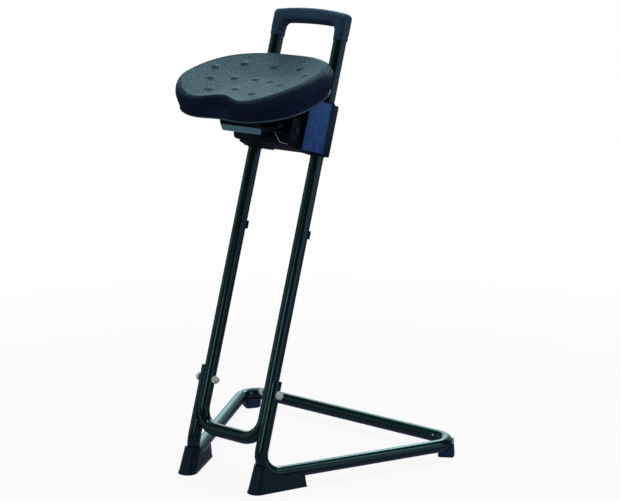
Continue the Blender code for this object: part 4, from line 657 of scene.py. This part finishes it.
# The paddle's front below its top band gets the slate plastic; the band and its raised lip keep the
# near-black plastic as painted shade under the seat
split_across(lever, PIN + MAST_UP * (PADDLE_TOP - PADDLE_PAINTED_SHADE_BAND), MAST_UP)
raise_lip(lever)
paint_faces(lever, LEVER_PLASTIC, on_paddle_face)
refined("lever_spring", SPRING_WIRE, smooth_angle=ROUND_WIRE_ANGLE)
refined("lever_pin", DARK_STEEL)
refined("lever_pin_ring", DARK_STEEL)
refined("seat_plate", PLYWOOD, bevel=0.0005)
refined("seat_bracket", SHEET_BLACK)
for side in ("left", "right"):
    refined(f"front_boot_{side}", BOOT_RUBBER, bevel=0.0020, segments=3)
    foot = refined(f"rear_foot_{side}", FOOT_RUBBER)
    soften(foot, at_foot_corner, FOOT_CORNER_ROUND, segments=5)
    soften(foot, at_foot_sole, FOOT_SOLE_ROUND, segments=4)
    refined(f"vent_plug_{side}", PLUG_PLASTIC)
    refined(f"frame_bolt_{side}", ZINC)
    refined(f"frame_washer_{side}", ZINC)
    refined(f"frame_nut_{side}", ZINC)
    refined(f"stop_{side}", DARK_PLASTIC, bevel=0.0005)
    refined(f"stop_screw_{side}", DARK_PLASTIC)
    refined(f"grip_collar_{side}", HANDLE_PLASTIC, bevel=0.0011)
    refined(f"rear_cover_{side}", COVER_PLASTIC, bevel=0.0008)
    refined(f"glide_bush_lower_{side}", DARK_PLASTIC)
    refined(f"glide_bush_upper_{side}", DARK_PLASTIC)
    refined(f"lock_plate_{side}", ZINC)
    spring = refined(f"lock_spring_{side}", SPRING_WIRE, smooth_angle=ROUND_WIRE_ANGLE)
    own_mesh(spring)
    refined(f"housing_screw_{side}", DARK_STEEL)
    for level in ("low", "high"):
        refined(f"cover_screw_{side}_{level}", ZINC)
        refined(f"bracket_bolt_{side}_{level}", ZINC)
    for place in ("front", "rear"):
        refined(f"seat_screw_{side}_{place}", ZINC)


# Floor, light and camera

def lamp(name, place, target, size, radiance, matt=True, gloss=False):
    """A flat lamp; matt lamps light the colours, gloss ones are the panels that shiny finishes show."""
    data = bpy.data.lights.new(name, "AREA")
    data.shape = "RECTANGLE"
    data.size, data.size_y = size
    data.energy = radiance * math.pi * size[0] * size[1]
    data.color = GLOSS_TONE if gloss else PLAIN_TONE
    made = bpy.data.objects.new(name, data)
    bpy.context.scene.collection.objects.link(made)
    made.location = place
    made.rotation_euler = (Vector(target) - Vector(place)).to_track_quat("-Z", "Y").to_euler()
    made.visible_camera = False
    made.visible_diffuse = matt
    made.visible_glossy = gloss


def calculate(tree, kind, first, second):
    made = new_node(tree, "ShaderNodeMath", operation=kind)
    tree.links.new(first, made.inputs[0])
    tree.links.new(second, made.inputs[1])
    return made.outputs[0]


def distance_out(tree, place):
    made = new_node(tree, "ShaderNodeVectorMath", operation="LENGTH")
    tree.links.new(place, made.inputs[0])
    return made.outputs["Value"]


def toward(tree, vector, direction):
    """How far a vector goes in a direction."""
    made = new_node(tree, "ShaderNodeVectorMath", operation="DOT_PRODUCT")
    made.inputs[1].default_value = direction
    tree.links.new(vector, made.inputs[0])
    return made.outputs["Value"]


def choose(tree, factor, low, high):
    """One number or the other, each a socket or a plain value."""
    made = new_node(tree, "ShaderNodeMix", data_type="FLOAT")
    tree.links.new(factor, made.inputs[0])
    for socket, value in zip(made.inputs[2:4], (low, high)):
        if isinstance(value, (int, float)):
            socket.default_value = value
        else:
            tree.links.new(value, socket)
    return made.outputs[0]


def make_floor():
    mesh = bpy.data.meshes.new("floor")
    reach = FLOOR_REACH
    corners = [(-reach, -reach, 0), (reach, -reach, 0), (reach, reach, 0), (-reach, reach, 0)]
    mesh.from_pydata(corners, [], [(0, 1, 2, 3)])
    floor = bpy.data.objects.new("floor", mesh)
    bpy.context.scene.collection.objects.link(floor)
    material, tree, shader = new_material("floor_white", FLOOR_ROUGHNESS, specular=0.0)
    path = new_node(tree, "ShaderNodeLightPath")
    to_camera, to_gloss = path.outputs["Is Camera Ray"], path.outputs["Is Glossy Ray"]
    place = object_place(tree)
    tree.links.new(overlay(tree, to_camera, (FLOOR_BOUNCE,) * 3, (FLOOR_WHITE,) * 3),
                   shader.inputs["Base Color"])
    away = distance_out(tree, place)
    seen = spread(tree, away, **SEEN_GLOW)
    near = spread(tree, away, **NEAR_GLOW)
    right = spread(tree, toward(tree, place, RIGHT_SIDE), **RIGHT_GLOW)
    mirrored = calculate(tree, "ADD", near, right)
    glow = new_node(tree, "ShaderNodeEmission")
    tree.links.new(overlay(tree, to_gloss, PLAIN_TONE, FLOOR_TONE), glow.inputs["Color"])
    tree.links.new(choose(tree, to_gloss, 1.0, mirrored), glow.inputs["Strength"])
    blend = new_node(tree, "ShaderNodeMixShader")
    tree.links.new(choose(tree, to_camera, to_gloss, seen), blend.inputs["Fac"])
    tree.links.new(shader.outputs["BSDF"], blend.inputs[1])
    tree.links.new(glow.outputs["Emission"], blend.inputs[2])
    tree.links.new(blend.outputs[0], tree.nodes["Material Output"].inputs["Surface"])
    mesh.materials.append(material)


def make_world():
    world = bpy.data.worlds.new("studio")
    world.use_nodes = True
    tree = world.node_tree
    background = tree.nodes["Background"]
    path = new_node(tree, "ShaderNodeLightPath")
    to_camera, to_gloss = path.outputs["Is Camera Ray"], path.outputs["Is Glossy Ray"]
    sky = new_node(tree, "ShaderNodeTexCoord").outputs["Generated"]
    panels = None
    for side, radiance, start, end in WORLD_PANELS:
        panel = spread(tree, toward(tree, sky, side), WORLD_GLOSS, radiance, start, end)
        panels = calculate(tree, "MAXIMUM", panels, panel) if panels else panel
    tree.links.new(overlay(tree, to_gloss, PLAIN_TONE, GLOSS_TONE), background.inputs["Color"])
    fill = choose(tree, to_gloss, WORLD_FILL, panels)
    tree.links.new(choose(tree, to_camera, fill, 1.0), background.inputs["Strength"])
    bpy.context.scene.world = world


def make_camera():
    data = bpy.data.cameras.new("camera")
    data.sensor_width = SENSOR_WIDTH
    data.lens = FOCAL_LENGTH
    data.clip_end = 2 * FLOOR_REACH
    camera = bpy.data.objects.new("camera", data)
    bpy.context.scene.collection.objects.link(camera)
    camera.location = CAMERA_PLACE
    camera.rotation_euler = CAMERA_TURN
    bpy.context.scene.camera = camera


make_floor()
make_world()
lamp("overhead", (-0.5, 0.4, 2.6), AT_STOOL, (2.0, 2.0), 2.6)
lamp("right_side", (2.2, -0.1, 1.2), AT_STOOL, (1.4, 1.6), 1.3)
lamp("front_low", (-1.2, -2.4, 0.6), AT_STOOL, (1.2, 1.2), 2.2)
lamp("seat_sheen", (-0.95, 1.90, 1.95), AT_SEAT, (1.7, 1.3), 1.8, matt=False, gloss=True)
lamp("nub_sheen", (-0.50, 0.70, 2.80), AT_SEAT, (1.2, 1.0), 2.6, matt=False, gloss=True)
lamp("nub_spark", (-0.72, 2.06, 1.61), AT_SEAT, (0.5, 0.5), 9, matt=False, gloss=True)
lamp("front_strip", (0.35, -2.6, 0.82), AT_UPRIGHTS, (0.80, 0.8), 2.6, matt=False, gloss=True)
lamp("right_top", (1.6, 0.7, 1.8), AT_SIDE_TUBE, (0.60, 1.2), 1.9, matt=False, gloss=True)
lamp("small_top", (-0.3, -0.6, 2.4), AT_BASE, (0.22, 0.22), 35, matt=False, gloss=True)
make_camera()
bpy.context.scene.view_settings.view_transform = "Standard"
